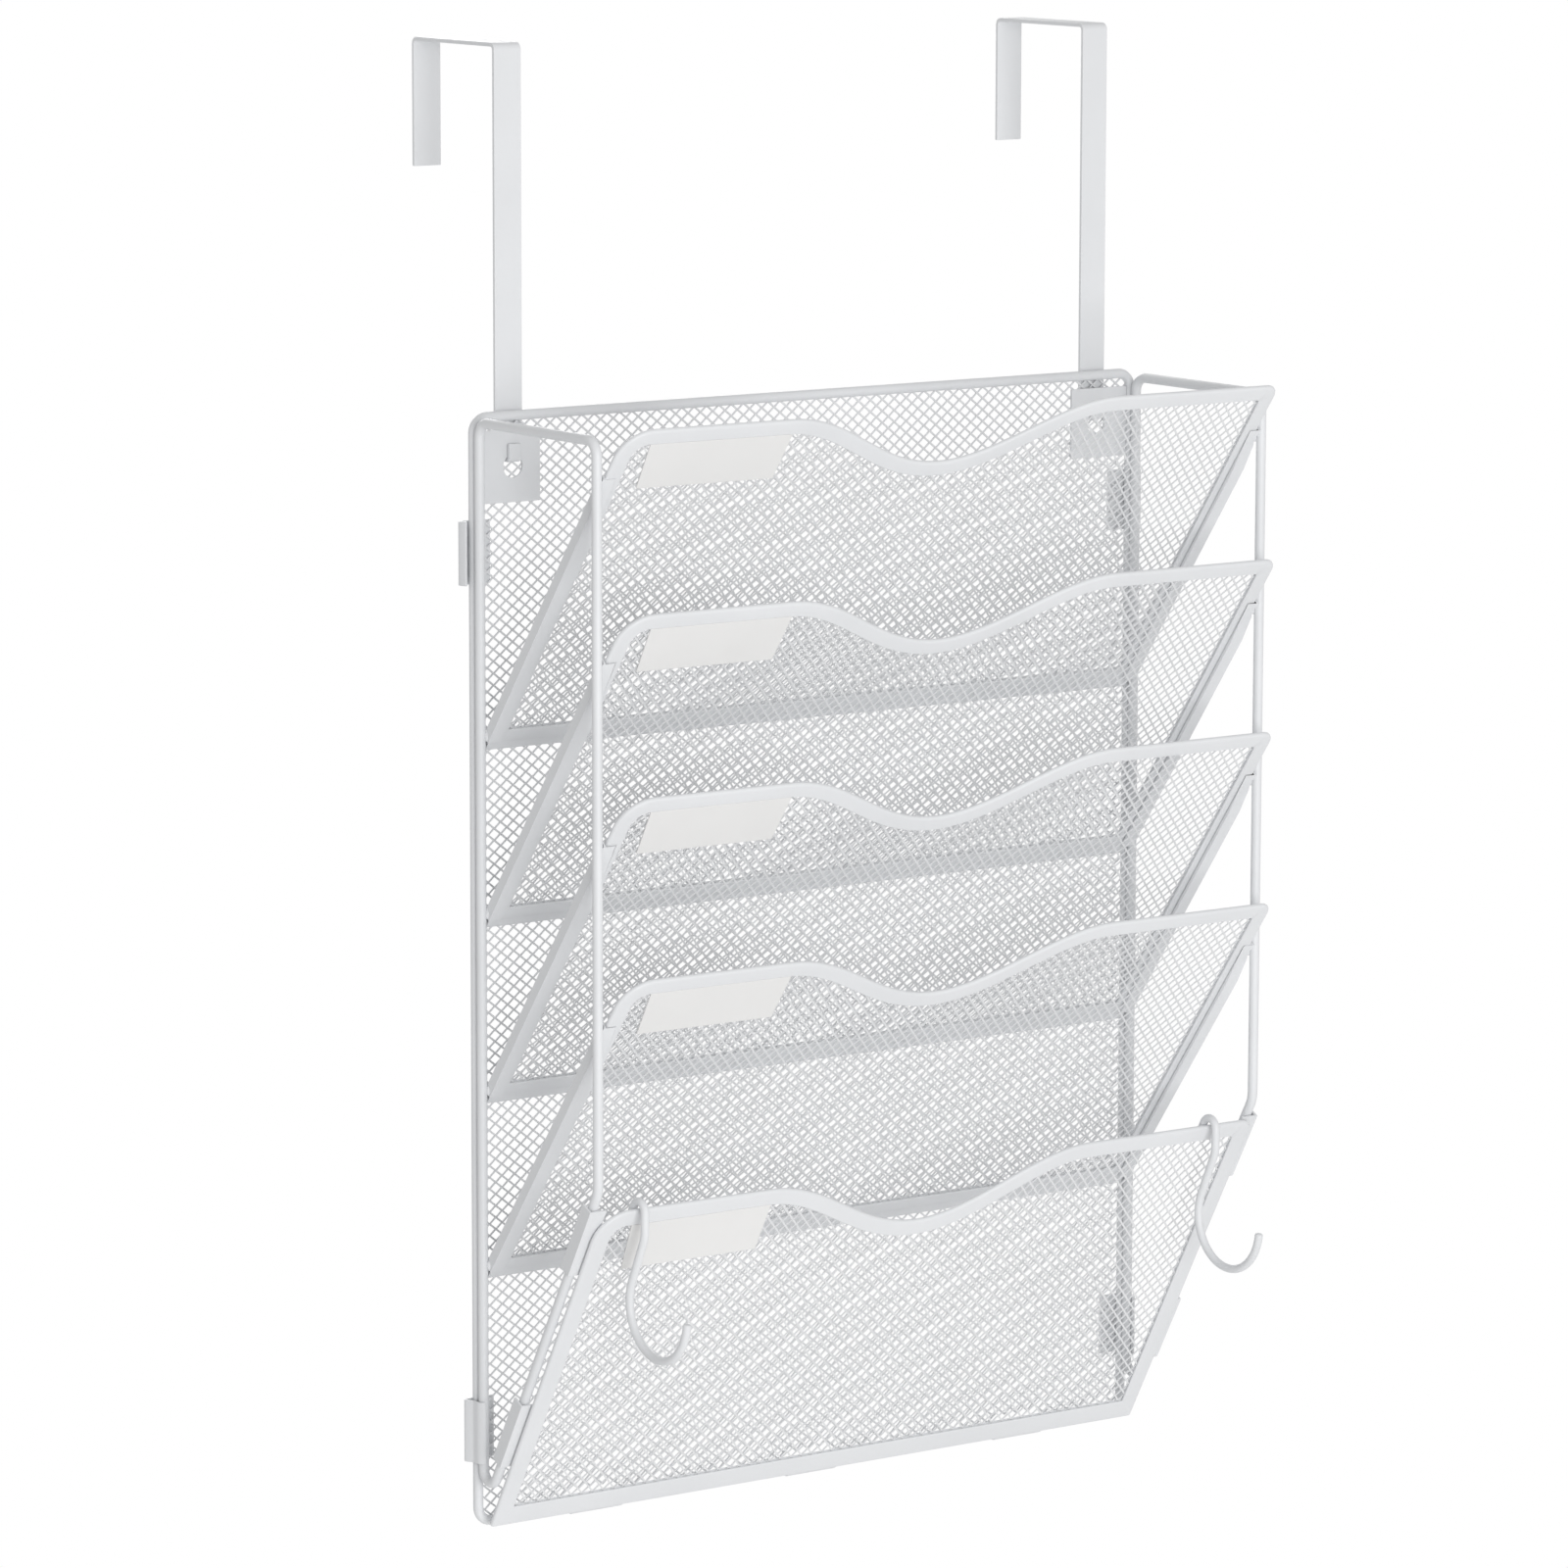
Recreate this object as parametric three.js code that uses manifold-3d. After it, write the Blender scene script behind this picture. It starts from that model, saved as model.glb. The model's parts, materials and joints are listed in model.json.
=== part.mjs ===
import * as THREE from 'three';
import { mergeVertices } from 'three/addons/utils/BufferGeometryUtils.js';
import Module from 'manifold-3d';

// A hanging document organizer: a wire back frame on two over-door hooks, four hinged mesh pockets
// that lean on struts of two wire side frames, and a fifth pocket that lies on the side frames' brackets.
// Millimetres, +Z up, +X right, and the pockets face -Y. The origin is on the door's top front edge,
// midway between the hooks: the door's front face is Y = 0 and its top is Z = 0.

const wasm = await Module();
wasm.setup();

// Clearances
const seatGap = 0.3; // between pieces that touch or turn in each other
const cutOverrun = 2; // how far a cutting shape runs past what it cuts

// Back frame: one wire bent to a rectangle
const frameWidth = 320; // between the centres of the side wires
const frameHeight = 438.3; // between the centres of the top and bottom wires
const wireDiameter = 4; // of the back and side frames
const frameCornerRadius = 6;
const wireSides = 10;
const bendSteps = 4;

// Over-door hooks: flat strap
const strapThickness = 1.5;
const strapWidth = 12.4;
const strapBendRadius = 2;
const doorRoom = 56.5; // the thickest door that the hooks take
const hookRise = 142; // from the top wire's centre up to the underside of the strap
const hookBackDrop = 49; // of the leg behind the door
const tongueWidth = 5.6; // the strap's end, bent through the keyhole
const tongueRise = 6.5;

// Expanded metal, drawn with one gap for every eight rows and columns of the real sheet
const gapWidth = 48.8;
const gapHeight = 38.4;
const strandWidth = 3.2;
const backMeshThickness = 0.8;
const backMeshSetback = 1.2; // its middle lies behind the middle of the wires
const pocketMeshThickness = 0.6;

// Keyhole plates
const plateThickness = 1;
const plateHeight = 28.5;
const plateWidth = 28;
const plateBelowTopWire = 5.3;
const keyholeDrop = 14.5; // from the plate's top edge to the centre of the hole
const keyholeInset = 15.5; // from the plate's outer edge to the centre of the hole, where the hook hangs
const keyholeRadius = 4.5;
const keyholeSlotWidth = 3;
const keyholeSlotRise = 9;

// Side frames: one wire each, hinged in front of the back frame's side wires
const sideDepth = 82; // between the centres of the rear and front wires
const sideTopDrop = 1.4; // below the back frame's top wire
const sideCornerRadius = 6;
const sideKneeRadius = 12;
const sideFootRadius = 5;

// Pockets 1 to 4
const pocketCount = 4;
const pocketLean = THREE.MathUtils.degToRad(36.8); // from upright
const firstHingeDrop = 127.6; // from the top wire's centre to the first hinge rod
const lastHingeRise = 100.7; // from the bottom wire's centre to the last hinge rod
const pocketHeight = 164.4; // from the hinge axis to the rim
const hemThickness = 2.2;
const sideHem = 7;
const rimHem = 9;
const bottomHem = 7.5;
const rodDiameter = 2.4;
const barrelWall = 0.6;
const grooveDepth = 3; // how far the mesh sits in the hem
const hemFrontSkin = 0.6;

// The rim's outline, shared by all five pockets
const waveDepth = 28;
const waveCentreX = 1;
const rimLeftFlat = 80; // from the side wire's centre to the wave's start
const rimRightFlat = 83;
const waveSteps = 7;
const rimLeftRadius = 14;
const rimRightRadius = 5;
const leastCornerRadius = 1.5;

// Pocket 5 turns on the bottom wire and lies in front of the side frames' slanted runs
const lowerLean = THREE.MathUtils.degToRad(29.6);
const lowerHeight = 164.7; // from the bottom wire's centre to the rim
const lowerFoot = 3.3; // from the bottom wire's centre up to the hem
const lowerFaceOffset = 7.58; // from the bottom wire's centre to the sheet's front face
const lowerSideGap = 0.8; // between the sheet's edge and the side wires
const lowerBottomHem = 9.5;
const sleeveWidth = 24; // of the sleeves round the bottom wire
const sleeveWall = 1;
const sleeveSpacing = 105;
const sleeveCount = 3;

// Struts of the side frames, in front of the hems of pockets 1 to 4
const strutThickness = 1.3;
const strutFace = 5.6;
const strutDepth = 4.3;
const strutOutward = 0.5; // past the inner side of the side wires

// Brackets that carry pocket 5: an angle over the front and outer side of the slanted run
const bracketThickness = 1;
const bracketInward = 4.4; // of the face, from the wire's centre, behind the pocket's hem
const bracketDepth = 6; // of the leg beside the wire
const bracketLength = 32;
const lowerBracketDrop = 99; // from the rim to the lower bracket

// Label plates
const labelWidth = 64.5;
const labelHeight = 22.5;
const labelInset = 20.5; // from the side wire's centre to the label's left edge
const labelThickness = 0.6;
const labelDrop = 0.7; // below the rim hem's inner edge, clear of the wave's start

// Hinge clips
const clipThickness = 1;
const clipHeight = 25;
const clipInnerReach = 9; // inward from the wires' centres
const clipNose = 6; // outward from the wires' centres
const clipNoseRadius = 1.4;
const clipNoseReturn = 4.5;
const clipWrap = THREE.MathUtils.degToRad(75); // round the front of the side wire
const upperClipDrop = 40; // from the top wire's centre to the upper clip's top
const lowerClipRise = 25; // from the bottom wire's centre to the lower clip's foot

// S-hooks on the rim of pocket 5
const hookWire = 3.3;
const hookSides = 8;
const hookLoopRadius = 4;
const hookLoopForward = 0.3; // of the loop's centre, from the middle of the rim's thickness
const hookLoopDrop = 1; // of the loop's centre, below the rim's middle
const hookTailLength = 7;
const hookNeckDrop = 9.2;
const hookNeckRadius = 12;
const hookCurlRadius = 19.7;
const hookCurlForward = 13.1; // of the curl's centre, from the loop's centre
const hookCurlDrop = 36.2;
const hookCurlEnd = THREE.MathUtils.degToRad(175);
const leftHookInset = 18.2; // from the side wire's centre
const rightHookInset = 23;
const loopSteps = 6;
const neckSteps = 3;
const curlSteps = 14;

// Places that follow from the sizes
const wireRadius = wireDiameter / 2;
const halfFrame = frameWidth / 2;
const backWireY = -(strapThickness + seatGap + wireRadius);
const topWireZ = -hookRise;
const bottomWireZ = topWireZ - frameHeight;
const backMeshFrontY = backWireY + backMeshSetback - backMeshThickness / 2;
const sideWireY = backWireY - wireDiameter - seatGap;
const sideFrontY = sideWireY - sideDepth;
const barrelRadius = rodDiameter / 2 + seatGap + barrelWall;
const rodY = backMeshFrontY - seatGap - barrelRadius;
const firstRodZ = topWireZ - firstHingeDrop;
const pocketPitch = (frameHeight - firstHingeDrop - lastHingeRise) / (pocketCount - 1);
const waveLeftRun = waveCentreX + halfFrame - rimLeftFlat;
const waveRightRun = halfFrame - rimRightFlat - waveCentreX;
const labelLeftX = -halfFrame + labelInset;
const plateOuterX = halfFrame - wireRadius - seatGap;
const hookX = plateOuterX - keyholeInset;
const pocketHalf = halfFrame - wireRadius + strutOutward - strutThickness - seatGap;
const lowerHalf = halfFrame - wireRadius - lowerSideGap;

const enamel = new THREE.MeshStandardMaterial({ color: 0xdcdee0, roughness: 0.5, metalness: 0 });
const meshEnamel = new THREE.MeshStandardMaterial({ color: 0xd6d8da, roughness: 0.5, metalness: 0 });
const labelPaint = new THREE.MeshStandardMaterial({ color: 0xe5e3e1, roughness: 0.6, metalness: 0 });

function point(x, y) {
  return new THREE.Vector2(x, y);
}

function arc(centre, radius, from, to, steps) {
  const points = [];
  for (let step = 0; step <= steps; step++) {
    const angle = from + (to - from) * step / steps;
    points.push(point(centre.x + radius * Math.cos(angle), centre.y + radius * Math.sin(angle)));
  }
  return points;
}

// The arc that rounds one corner of a line
function cornerArc(before, corner, after, radius, steps) {
  const back = before.clone().sub(corner).normalize();
  const on = after.clone().sub(corner).normalize();
  const half = Math.acos(THREE.MathUtils.clamp(back.dot(on), -1, 1)) / 2;
  const start = corner.clone().addScaledVector(back, radius / Math.tan(half));
  const middle = back.clone().add(on).normalize();
  const centre = corner.clone().addScaledVector(middle, radius / Math.sin(half));
  const turn = -Math.sign(back.cross(on)) * (Math.PI - 2 * half);
  const points = [];
  for (let step = 0; step <= steps; step++) {
    points.push(start.clone().rotateAround(centre, turn * step / steps));
  }
  return points;
}

// A line whose inner corners are rounded; each corner has its own radius
function roundedLine(corners, radii, steps) {
  const line = [corners[0].clone()];
  for (let i = 1; i < corners.length - 1; i++) {
    line.push(...cornerArc(corners[i - 1], corners[i], corners[i + 1], radii[i - 1], steps));
  }
  line.push(corners[corners.length - 1].clone());
  return line;
}

function roundedLoop(corners, radii, steps) {
  const count = corners.length;
  return corners.flatMap((corner, i) => cornerArc(
    corners[(i + count - 1) % count], corner, corners[(i + 1) % count], radii[i], steps));
}

// At each point of a line: the unit normal of the mitre, and how much the mitre stretches it
function mitres(line, closed) {
  const count = line.length;
  return line.map((here, i) => {
    const before = closed || i > 0 ? line[(i + count - 1) % count] : null;
    const after = closed || i < count - 1 ? line[(i + 1) % count] : null;
    const into = before ? here.clone().sub(before).normalize() : after.clone().sub(here).normalize();
    const out = after ? after.clone().sub(here).normalize() : into.clone();
    const along = into.clone().add(out).normalize();
    return { normal: point(-along.y, along.x), stretch: 1 / along.dot(into) };
  });
}

// A round wire along a plane line. place(a, b, side) gives the point of the solid at (a, b) of the
// line's plane and side out of it.
function wire(line, radius, sides, closed, place) {
  const positions = [];
  const faces = [];
  const rings = mitres(line, closed);
  line.forEach((centre, i) => {
    for (let side = 0; side < sides; side++) {
      const angle = 2 * Math.PI * side / sides;
      const reach = radius * Math.cos(angle) * rings[i].stretch;
      const spot = centre.clone().addScaledVector(rings[i].normal, reach);
      positions.push(...place(spot.x, spot.y, radius * Math.sin(angle)).toArray());
    }
  });
  const spans = closed ? line.length : line.length - 1;
  for (let i = 0; i < spans; i++) {
    const next = (i + 1) % line.length;
    for (let side = 0; side < sides; side++) {
      const beside = (side + 1) % sides;
      const [a, b] = [i * sides + side, i * sides + beside];
      const [c, d] = [next * sides + side, next * sides + beside];
      faces.push(a, b, c, b, d, c);
    }
  }
  if (!closed) {
    const last = (line.length - 1) * sides;
    for (let side = 1; side < sides - 1; side++) {
      faces.push(0, side + 1, side, last, last + side, last + side + 1);
    }
  }
  return facingOut(positions, faces);
}

// A closed shell whose faces point out
function facingOut(positions, faces) {
  const at = (i) => new THREE.Vector3().fromArray(positions, i * 3);
  let volume = 0;
  for (let i = 0; i < faces.length; i += 3) {
    volume += at(faces[i]).dot(at(faces[i + 1]).cross(at(faces[i + 2])));
  }
  if (volume < 0) {
    faces.reverse();
  }
  const geometry = new THREE.BufferGeometry();
  geometry.setAttribute('position', new THREE.Float32BufferAttribute(positions, 3));
  geometry.setIndex(faces);
  return geometry;
}

function shapeOf(outline) {
  return new THREE.Shape(outline);
}

// An outline in X and Z, extruded forward from y = back to y = back - thickness
function sheet(shapes, back, thickness) {
  const geometry = new THREE.ExtrudeGeometry(shapes, { depth: thickness, bevelEnabled: false });
  geometry.rotateX(Math.PI / 2);
  geometry.translate(0, back, 0);
  return geometry;
}

// An outline in Y and Z, extruded along X between two places
function profileAlongX(outline, fromX, toX) {
  const depth = toX - fromX;
  const geometry = new THREE.ExtrudeGeometry(shapeOf(outline), { depth, bevelEnabled: false });
  const turn = new THREE.Matrix4().makeBasis(
    new THREE.Vector3(0, 1, 0), new THREE.Vector3(0, 0, 1), new THREE.Vector3(1, 0, 0));
  geometry.applyMatrix4(turn);
  geometry.translate(fromX, 0, 0);
  return geometry;
}

// The outline of a strip bent along a line
function stripOutline(line, thickness) {
  const edges = mitres(line, false);
  const offset = (i, share) => line[i].clone()
    .addScaledVector(edges[i].normal, thickness * share * edges[i].stretch);
  const left = line.map((_, i) => offset(i, 0.5));
  const right = line.map((_, i) => offset(i, -0.5));
  return left.concat(right.reverse());
}

function rectangle(x0, z0, x1, z1) {
  return [point(x0, z0), point(x1, z0), point(x1, z1), point(x0, z1)];
}

// Geometry to a solid that can be joined and cut, and back
function solid(geometry) {
  const bare = geometry.clone();
  bare.deleteAttribute('normal');
  bare.deleteAttribute('uv');
  const merged = mergeVertices(bare);
  return new wasm.Manifold(new wasm.Mesh({
    numProp: 3,
    vertProperties: new Float32Array(merged.attributes.position.array),
    triVerts: new Uint32Array(merged.index.array),
  }));
}

function geometryOf(body) {
  const mesh = body.getMesh();
  const geometry = new THREE.BufferGeometry();
  geometry.setAttribute('position', new THREE.BufferAttribute(new Float32Array(mesh.vertProperties), 3));
  geometry.setIndex(new THREE.BufferAttribute(new Uint32Array(mesh.triVerts), 1));
  return geometry;
}

function largest(body) {
  return body.decompose().reduce((best, piece) => (piece.volume() > best.volume() ? piece : best));
}

function piece(parent, name, geometry, material) {
  const bare = geometry.clone();
  bare.deleteAttribute('uv');
  bare.computeVertexNormals();
  const mesh = new THREE.Mesh(bare, material);
  mesh.name = name;
  parent.add(mesh);
  return mesh;
}

// The diamond gaps of expanded metal over a field that is wide and tall enough
function diamonds(reachX, fromZ, toZ) {
  const [halfWidth, halfHeight] = [gapWidth / 2, gapHeight / 2];
  const toStrand = halfWidth * halfHeight / Math.hypot(halfWidth, halfHeight);
  const share = (toStrand - strandWidth / 2) / toStrand;
  const columns = Math.ceil(reachX / halfWidth);
  const rows = Math.ceil((toZ - fromZ) / halfHeight);
  const shapes = [];
  for (let row = 0; row <= rows; row++) {
    for (let column = -columns; column <= columns; column++) {
      if ((row + column) % 2 === 0) {
        const [x, z] = [column * halfWidth, fromZ + row * halfHeight];
        shapes.push(shapeOf([
          point(x - halfWidth * share, z), point(x, z - halfHeight * share),
          point(x + halfWidth * share, z), point(x, z + halfHeight * share),
        ]));
      }
    }
  }
  return shapes;
}

// A net: the gaps cut out of a sheet of the given outline
function net(outline, back, thickness, reachX, fromZ, toZ) {
  const blank = solid(sheet(shapeOf(outline), back, thickness));
  const gaps = solid(sheet(diamonds(reachX, fromZ, toZ), back + cutOverrun, thickness + 2 * cutOverrun));
  return largest(blank.subtract(gaps));
}

// Depth of the rim's wave below its flat ends, and the wave's slope
function wave(x) {
  const run = x < waveCentreX ? waveLeftRun : waveRightRun;
  const share = (x - waveCentreX) / run;
  return {
    depth: waveDepth * (1 + Math.cos(Math.PI * share)) / 2,
    slope: waveDepth * Math.PI * Math.sin(Math.PI * share) / (2 * run),
  };
}

// Outline of a pocket sheet, inset from its own outer edge
function sheetOutline(half, foot, height, inset) {
  const edge = half - inset.side;
  const top = height - inset.rim;
  const leftRadius = Math.max(rimLeftRadius - inset.side, leastCornerRadius);
  const rightRadius = Math.max(rimRightRadius - inset.side, leastCornerRadius);
  const outline = [point(edge, foot + inset.bottom)];
  outline.push(...arc(point(edge - rightRadius, top - rightRadius), rightRadius, 0, Math.PI / 2, 3));
  for (let step = 2 * waveSteps; step >= 0; step--) {
    const run = step < waveSteps ? waveLeftRun : waveRightRun;
    const x = waveCentreX + run * (step / waveSteps - 1);
    const { depth, slope } = wave(x);
    outline.push(point(x, height - depth - inset.rim * Math.hypot(1, slope)));
  }
  outline.push(...arc(point(-edge + leftRadius, top - leftRadius), leftRadius, Math.PI / 2, Math.PI, 5));
  outline.push(point(-edge, foot + inset.bottom));
  return outline;
}

// The folded hem of a pocket, with the groove that holds its mesh
function hem(half, foot, height, bottom, back) {
  const inner = { side: sideHem, rim: rimHem, bottom };
  const seat = { side: sideHem - grooveDepth, rim: rimHem - grooveDepth, bottom: bottom - grooveDepth };
  const plate = solid(sheet(
    shapeOf(sheetOutline(half, foot, height, { side: 0, rim: 0, bottom: 0 })), back, hemThickness));
  const window = solid(sheet(
    shapeOf(sheetOutline(half, foot, height, inner)), back + cutOverrun, hemThickness + 2 * cutOverrun));
  const grooveBack = back - hemThickness + hemFrontSkin + pocketMeshThickness + 2 * seatGap;
  const groove = solid(sheet(shapeOf(sheetOutline(half, foot, height, seat)),
    grooveBack, pocketMeshThickness + 2 * seatGap));
  return plate.subtract(window).subtract(groove);
}

function pocketNet(half, foot, height, bottom, back) {
  const share = grooveDepth - seatGap;
  const inset = { side: sideHem - share, rim: rimHem - share, bottom: bottom - share };
  const meshBack = back - hemThickness + hemFrontSkin + pocketMeshThickness + seatGap;
  return net(sheetOutline(half, foot, height, inset), meshBack, pocketMeshThickness,
    half, foot + bottom, height);
}

function labelPlate(height, back) {
  const top = height - rimHem - labelDrop;
  const outline = rectangle(labelLeftX, top - labelHeight, labelLeftX + labelWidth, top);
  return sheet(shapeOf(outline), back - hemThickness + labelThickness, labelThickness);
}

function cylinderAlongX(radius, halfLength, sides) {
  const geometry = new THREE.CylinderGeometry(radius, radius, 2 * halfLength, sides);
  geometry.rotateZ(Math.PI / 2);
  return geometry;
}

// A many-sided hole that clears a round pin of the given radius on its flats
function boreRadius(radius, sides) {
  return radius / Math.cos(Math.PI / sides);
}

const organizer = new THREE.Group();

function buildBackFrame() {
  const [right, top, bottom] = [halfFrame, topWireZ, bottomWireZ];
  const corners = [point(right, bottom), point(right, top), point(-right, top), point(-right, bottom)];
  const line = roundedLoop(corners, corners.map(() => frameCornerRadius), bendSteps);
  const place = (x, z, side) => new THREE.Vector3(x, backWireY + side, z);
  piece(organizer, 'back_frame', wire(line, wireRadius, wireSides, true, place), enamel);
}

// Places of the keyhole plates, in Y and Z
const plateTopZ = topWireZ - plateBelowTopWire;
const keyholeZ = plateTopZ - keyholeDrop;
const plateBackY = backMeshFrontY - seatGap;
const plateFrontY = plateBackY - plateThickness;
// The tongue's web runs through the hole, under the hole's upper edge
const tongueTopZ = keyholeZ + Math.sqrt(keyholeRadius ** 2 - (tongueWidth / 2) ** 2) - seatGap;

function buildBackMesh() {
  const [edgeX, gapToWire] = [halfFrame - wireRadius - seatGap, wireRadius + seatGap];
  const [low, high] = [bottomWireZ + gapToWire, topWireZ - gapToWire];
  const corner = frameCornerRadius - gapToWire;
  const corners = [point(edgeX, low), point(edgeX, high), point(-edgeX, high), point(-edgeX, low)];
  const outline = roundedLoop(corners, corners.map(() => corner), 2);
  const thickness = backMeshThickness;
  const back = backMeshFrontY + thickness;
  let body = net(outline, back, thickness, halfFrame, low, high);
  // Room for the tongues behind the keyholes, and for pocket 5's sleeves round the bottom wire
  const ways = [-hookX, hookX].map((x) => arc(
    point(x, keyholeZ), keyholeRadius + cutOverrun, 0, 2 * Math.PI * 11 / 12, 11));
  const reach = sleeveWall + 2 * seatGap;
  for (const x of sleevePlaces()) {
    const half = sleeveWidth / 2 + reach;
    ways.push(rectangle(x - half, low - cutOverrun, x + half, low + reach));
  }
  for (const way of ways) {
    const cutter = sheet(shapeOf(way), back + cutOverrun, thickness + 2 * cutOverrun);
    body = body.subtract(solid(cutter));
  }
  piece(organizer, 'back_mesh', geometryOf(largest(body)), meshEnamel);
}

function sleevePlaces() {
  const places = [];
  for (let i = 0; i < sleeveCount; i++) {
    places.push((i - (sleeveCount - 1) / 2) * sleeveSpacing);
  }
  return places;
}

function buildKeyholePlate(name, side) {
  const inner = plateOuterX - plateWidth;
  const [x0, x1] = side < 0 ? [-plateOuterX, -inner] : [inner, plateOuterX];
  const shape = shapeOf(rectangle(x0, plateTopZ - plateHeight, x1, plateTopZ));
  const centre = point(side * hookX, keyholeZ);
  const slotHalf = keyholeSlotWidth / 2;
  const open = Math.asin(slotHalf / keyholeRadius);
  const slotTop = keyholeZ + keyholeSlotRise - slotHalf;
  const hole = arc(centre, keyholeRadius, Math.PI / 2 + open, 2.5 * Math.PI - open, 14);
  hole.push(...arc(point(centre.x, slotTop), slotHalf, 0, Math.PI, 4));
  shape.holes.push(new THREE.Path(hole));
  piece(organizer, name, sheet(shape, plateBackY, plateThickness), enamel);
}

function buildDoorHook(name, side) {
  const [front, back] = [-strapThickness / 2, doorRoom + strapThickness / 2];
  const top = strapThickness / 2;
  const tongueZ = tongueTopZ - strapThickness / 2;
  const tongueY = plateFrontY - seatGap - strapThickness / 2;
  const bar = roundedLine(
    [point(front, tongueZ - strapThickness / 2), point(front, top), point(back, top), point(back, -hookBackDrop)],
    [strapBendRadius, strapBendRadius], bendSteps);
  const tongue = roundedLine(
    [point(0, tongueZ), point(tongueY, tongueZ), point(tongueY, tongueZ + tongueRise)],
    [strapThickness / 2 + seatGap], 2);
  const [x, halfBar, halfTongue] = [side * hookX, strapWidth / 2, tongueWidth / 2];
  const body = solid(profileAlongX(stripOutline(bar, strapThickness), x - halfBar, x + halfBar))
    .add(solid(profileAlongX(stripOutline(tongue, strapThickness), x - halfTongue, x + halfTongue)));
  piece(organizer, name, geometryOf(body), enamel);
}

function buildHingeRod(name, z) {
  const rod = cylinderAlongX(rodDiameter / 2, halfFrame - wireRadius, 10);
  piece(organizer, name, rod, enamel).position.set(0, rodY, z);
}

// Direction up pocket 5's sheet and out of its front, in Y and Z
const lowerUp = point(-Math.sin(lowerLean), Math.cos(lowerLean));
const lowerOut = point(-Math.cos(lowerLean), -Math.sin(lowerLean));

// Front of the brackets, from the bottom wire's centre, behind pocket 5's hem
const bracketFace = lowerFaceOffset - hemThickness - seatGap;

// The side wire's slanted run lies behind the brackets: its height where it crosses a given Y
function slantZ(y) {
  const offset = bracketFace - bracketThickness - seatGap - wireRadius;
  return bottomWireZ + (offset - (y - backWireY) * lowerOut.x) / lowerOut.y;
}

function sideFrameLine() {
  const top = topWireZ - sideTopDrop;
  const corners = [
    point(sideWireY, top), point(sideFrontY, top),
    point(sideFrontY, slantZ(sideFrontY)), point(sideWireY, slantZ(sideWireY)),
  ];
  const radii = [sideCornerRadius, sideCornerRadius, sideKneeRadius, sideFootRadius];
  return roundedLoop(corners, radii, bendSteps);
}

// Struts: an angle whose face lies in front of a pocket's hem and whose flange lies outside it
function strutOutline(side) {
  const outer = halfFrame - wireRadius + strutOutward;
  const face = barrelRadius + seatGap;
  const [inner, front, end] = [outer - strutThickness, face + strutThickness, face + strutThickness - strutDepth];
  const outline = [
    point(outer - strutFace, face), point(outer - strutFace, front), point(outer, front),
    point(outer, end), point(inner, end), point(inner, face),
  ];
  return outline.map((spot) => point(side * spot.x, -spot.y));
}

function buildStrut(parent, name, side, rodZ, wires) {
  const depth = (sideWireY - sideFrontY) / Math.sin(pocketLean);
  const geometry = new THREE.ExtrudeGeometry(
    shapeOf(strutOutline(side)), { depth, bevelEnabled: false });
  geometry.translate(0, 0, (rodY - sideWireY) / Math.sin(pocketLean));
  geometry.rotateX(pocketLean);
  geometry.translate(0, rodY, rodZ);
  const body = largest(solid(geometry).subtract(wires));
  piece(parent, name, geometryOf(body), enamel);
}

function buildBracket(parent, name, side, topDrop) {
  const leg = halfFrame + wireRadius + seatGap;
  const outer = leg + bracketThickness;
  const outline = [
    point(halfFrame - bracketInward, -bracketFace), point(outer, -bracketFace),
    point(outer, -bracketFace + bracketDepth), point(leg, -bracketFace + bracketDepth),
    point(leg, -bracketFace + bracketThickness),
    point(halfFrame - bracketInward, -bracketFace + bracketThickness),
  ].map((spot) => point(side * spot.x, spot.y));
  const geometry = new THREE.ExtrudeGeometry(
    shapeOf(outline), { depth: bracketLength, bevelEnabled: false });
  geometry.translate(0, 0, lowerHeight - topDrop - bracketLength);
  geometry.rotateX(lowerLean);
  geometry.translate(0, backWireY, bottomWireZ);
  piece(parent, name, geometry, enamel);
}

function buildSideFrame(label, side) {
  const group = new THREE.Group();
  organizer.add(group);
  const place = (y, z, out) => new THREE.Vector3(side * halfFrame + out, y, z);
  const line = sideFrameLine();
  const loop = wire(line, wireRadius, wireSides, true, place);
  piece(group, `side_frame_${label}`, loop, enamel);
  const clearRadius = boreRadius(wireRadius + seatGap, wireSides);
  const clearance = solid(wire(line, clearRadius, wireSides, true, place));
  for (let i = 0; i < pocketCount; i++) {
    buildStrut(group, `strut_${i + 1}_${label}`, side, firstRodZ - i * pocketPitch, clearance);
  }
  buildBracket(group, `bracket_upper_${label}`, side, 0);
  buildBracket(group, `bracket_lower_${label}`, side, lowerBracketDrop);
}

function clipLine(side, wraps) {
  const plateY = -strapThickness + clipThickness / 2;
  const sleeve = wireRadius + seatGap + clipThickness / 2;
  const [inner, nose, outer] = [halfFrame - clipInnerReach, halfFrame + clipNose, halfFrame + sleeve];
  const turnY = plateY - clipNoseReturn;
  const line = wraps
    ? roundedLine([point(inner, plateY), point(nose, plateY), point(outer, turnY), point(outer, sideWireY)],
      [clipNoseRadius, clipNoseReturn / 2], 3)
    : roundedLine([point(inner, plateY), point(nose, plateY), point((nose + outer) / 2, turnY)],
      [clipNoseRadius], 3);
  if (wraps) {
    line.pop();
    line.push(...arc(point(halfFrame, sideWireY), sleeve, 0, -clipWrap, 5));
  }
  return line.map((spot) => point(side * spot.x, spot.y));
}

function buildClip(name, side, wraps, footZ) {
  const outline = stripOutline(clipLine(side, wraps), clipThickness);
  const geometry = new THREE.ExtrudeGeometry(
    shapeOf(outline), { depth: clipHeight, bevelEnabled: false });
  piece(organizer, name, geometry, enamel).position.z = footZ;
}

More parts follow.
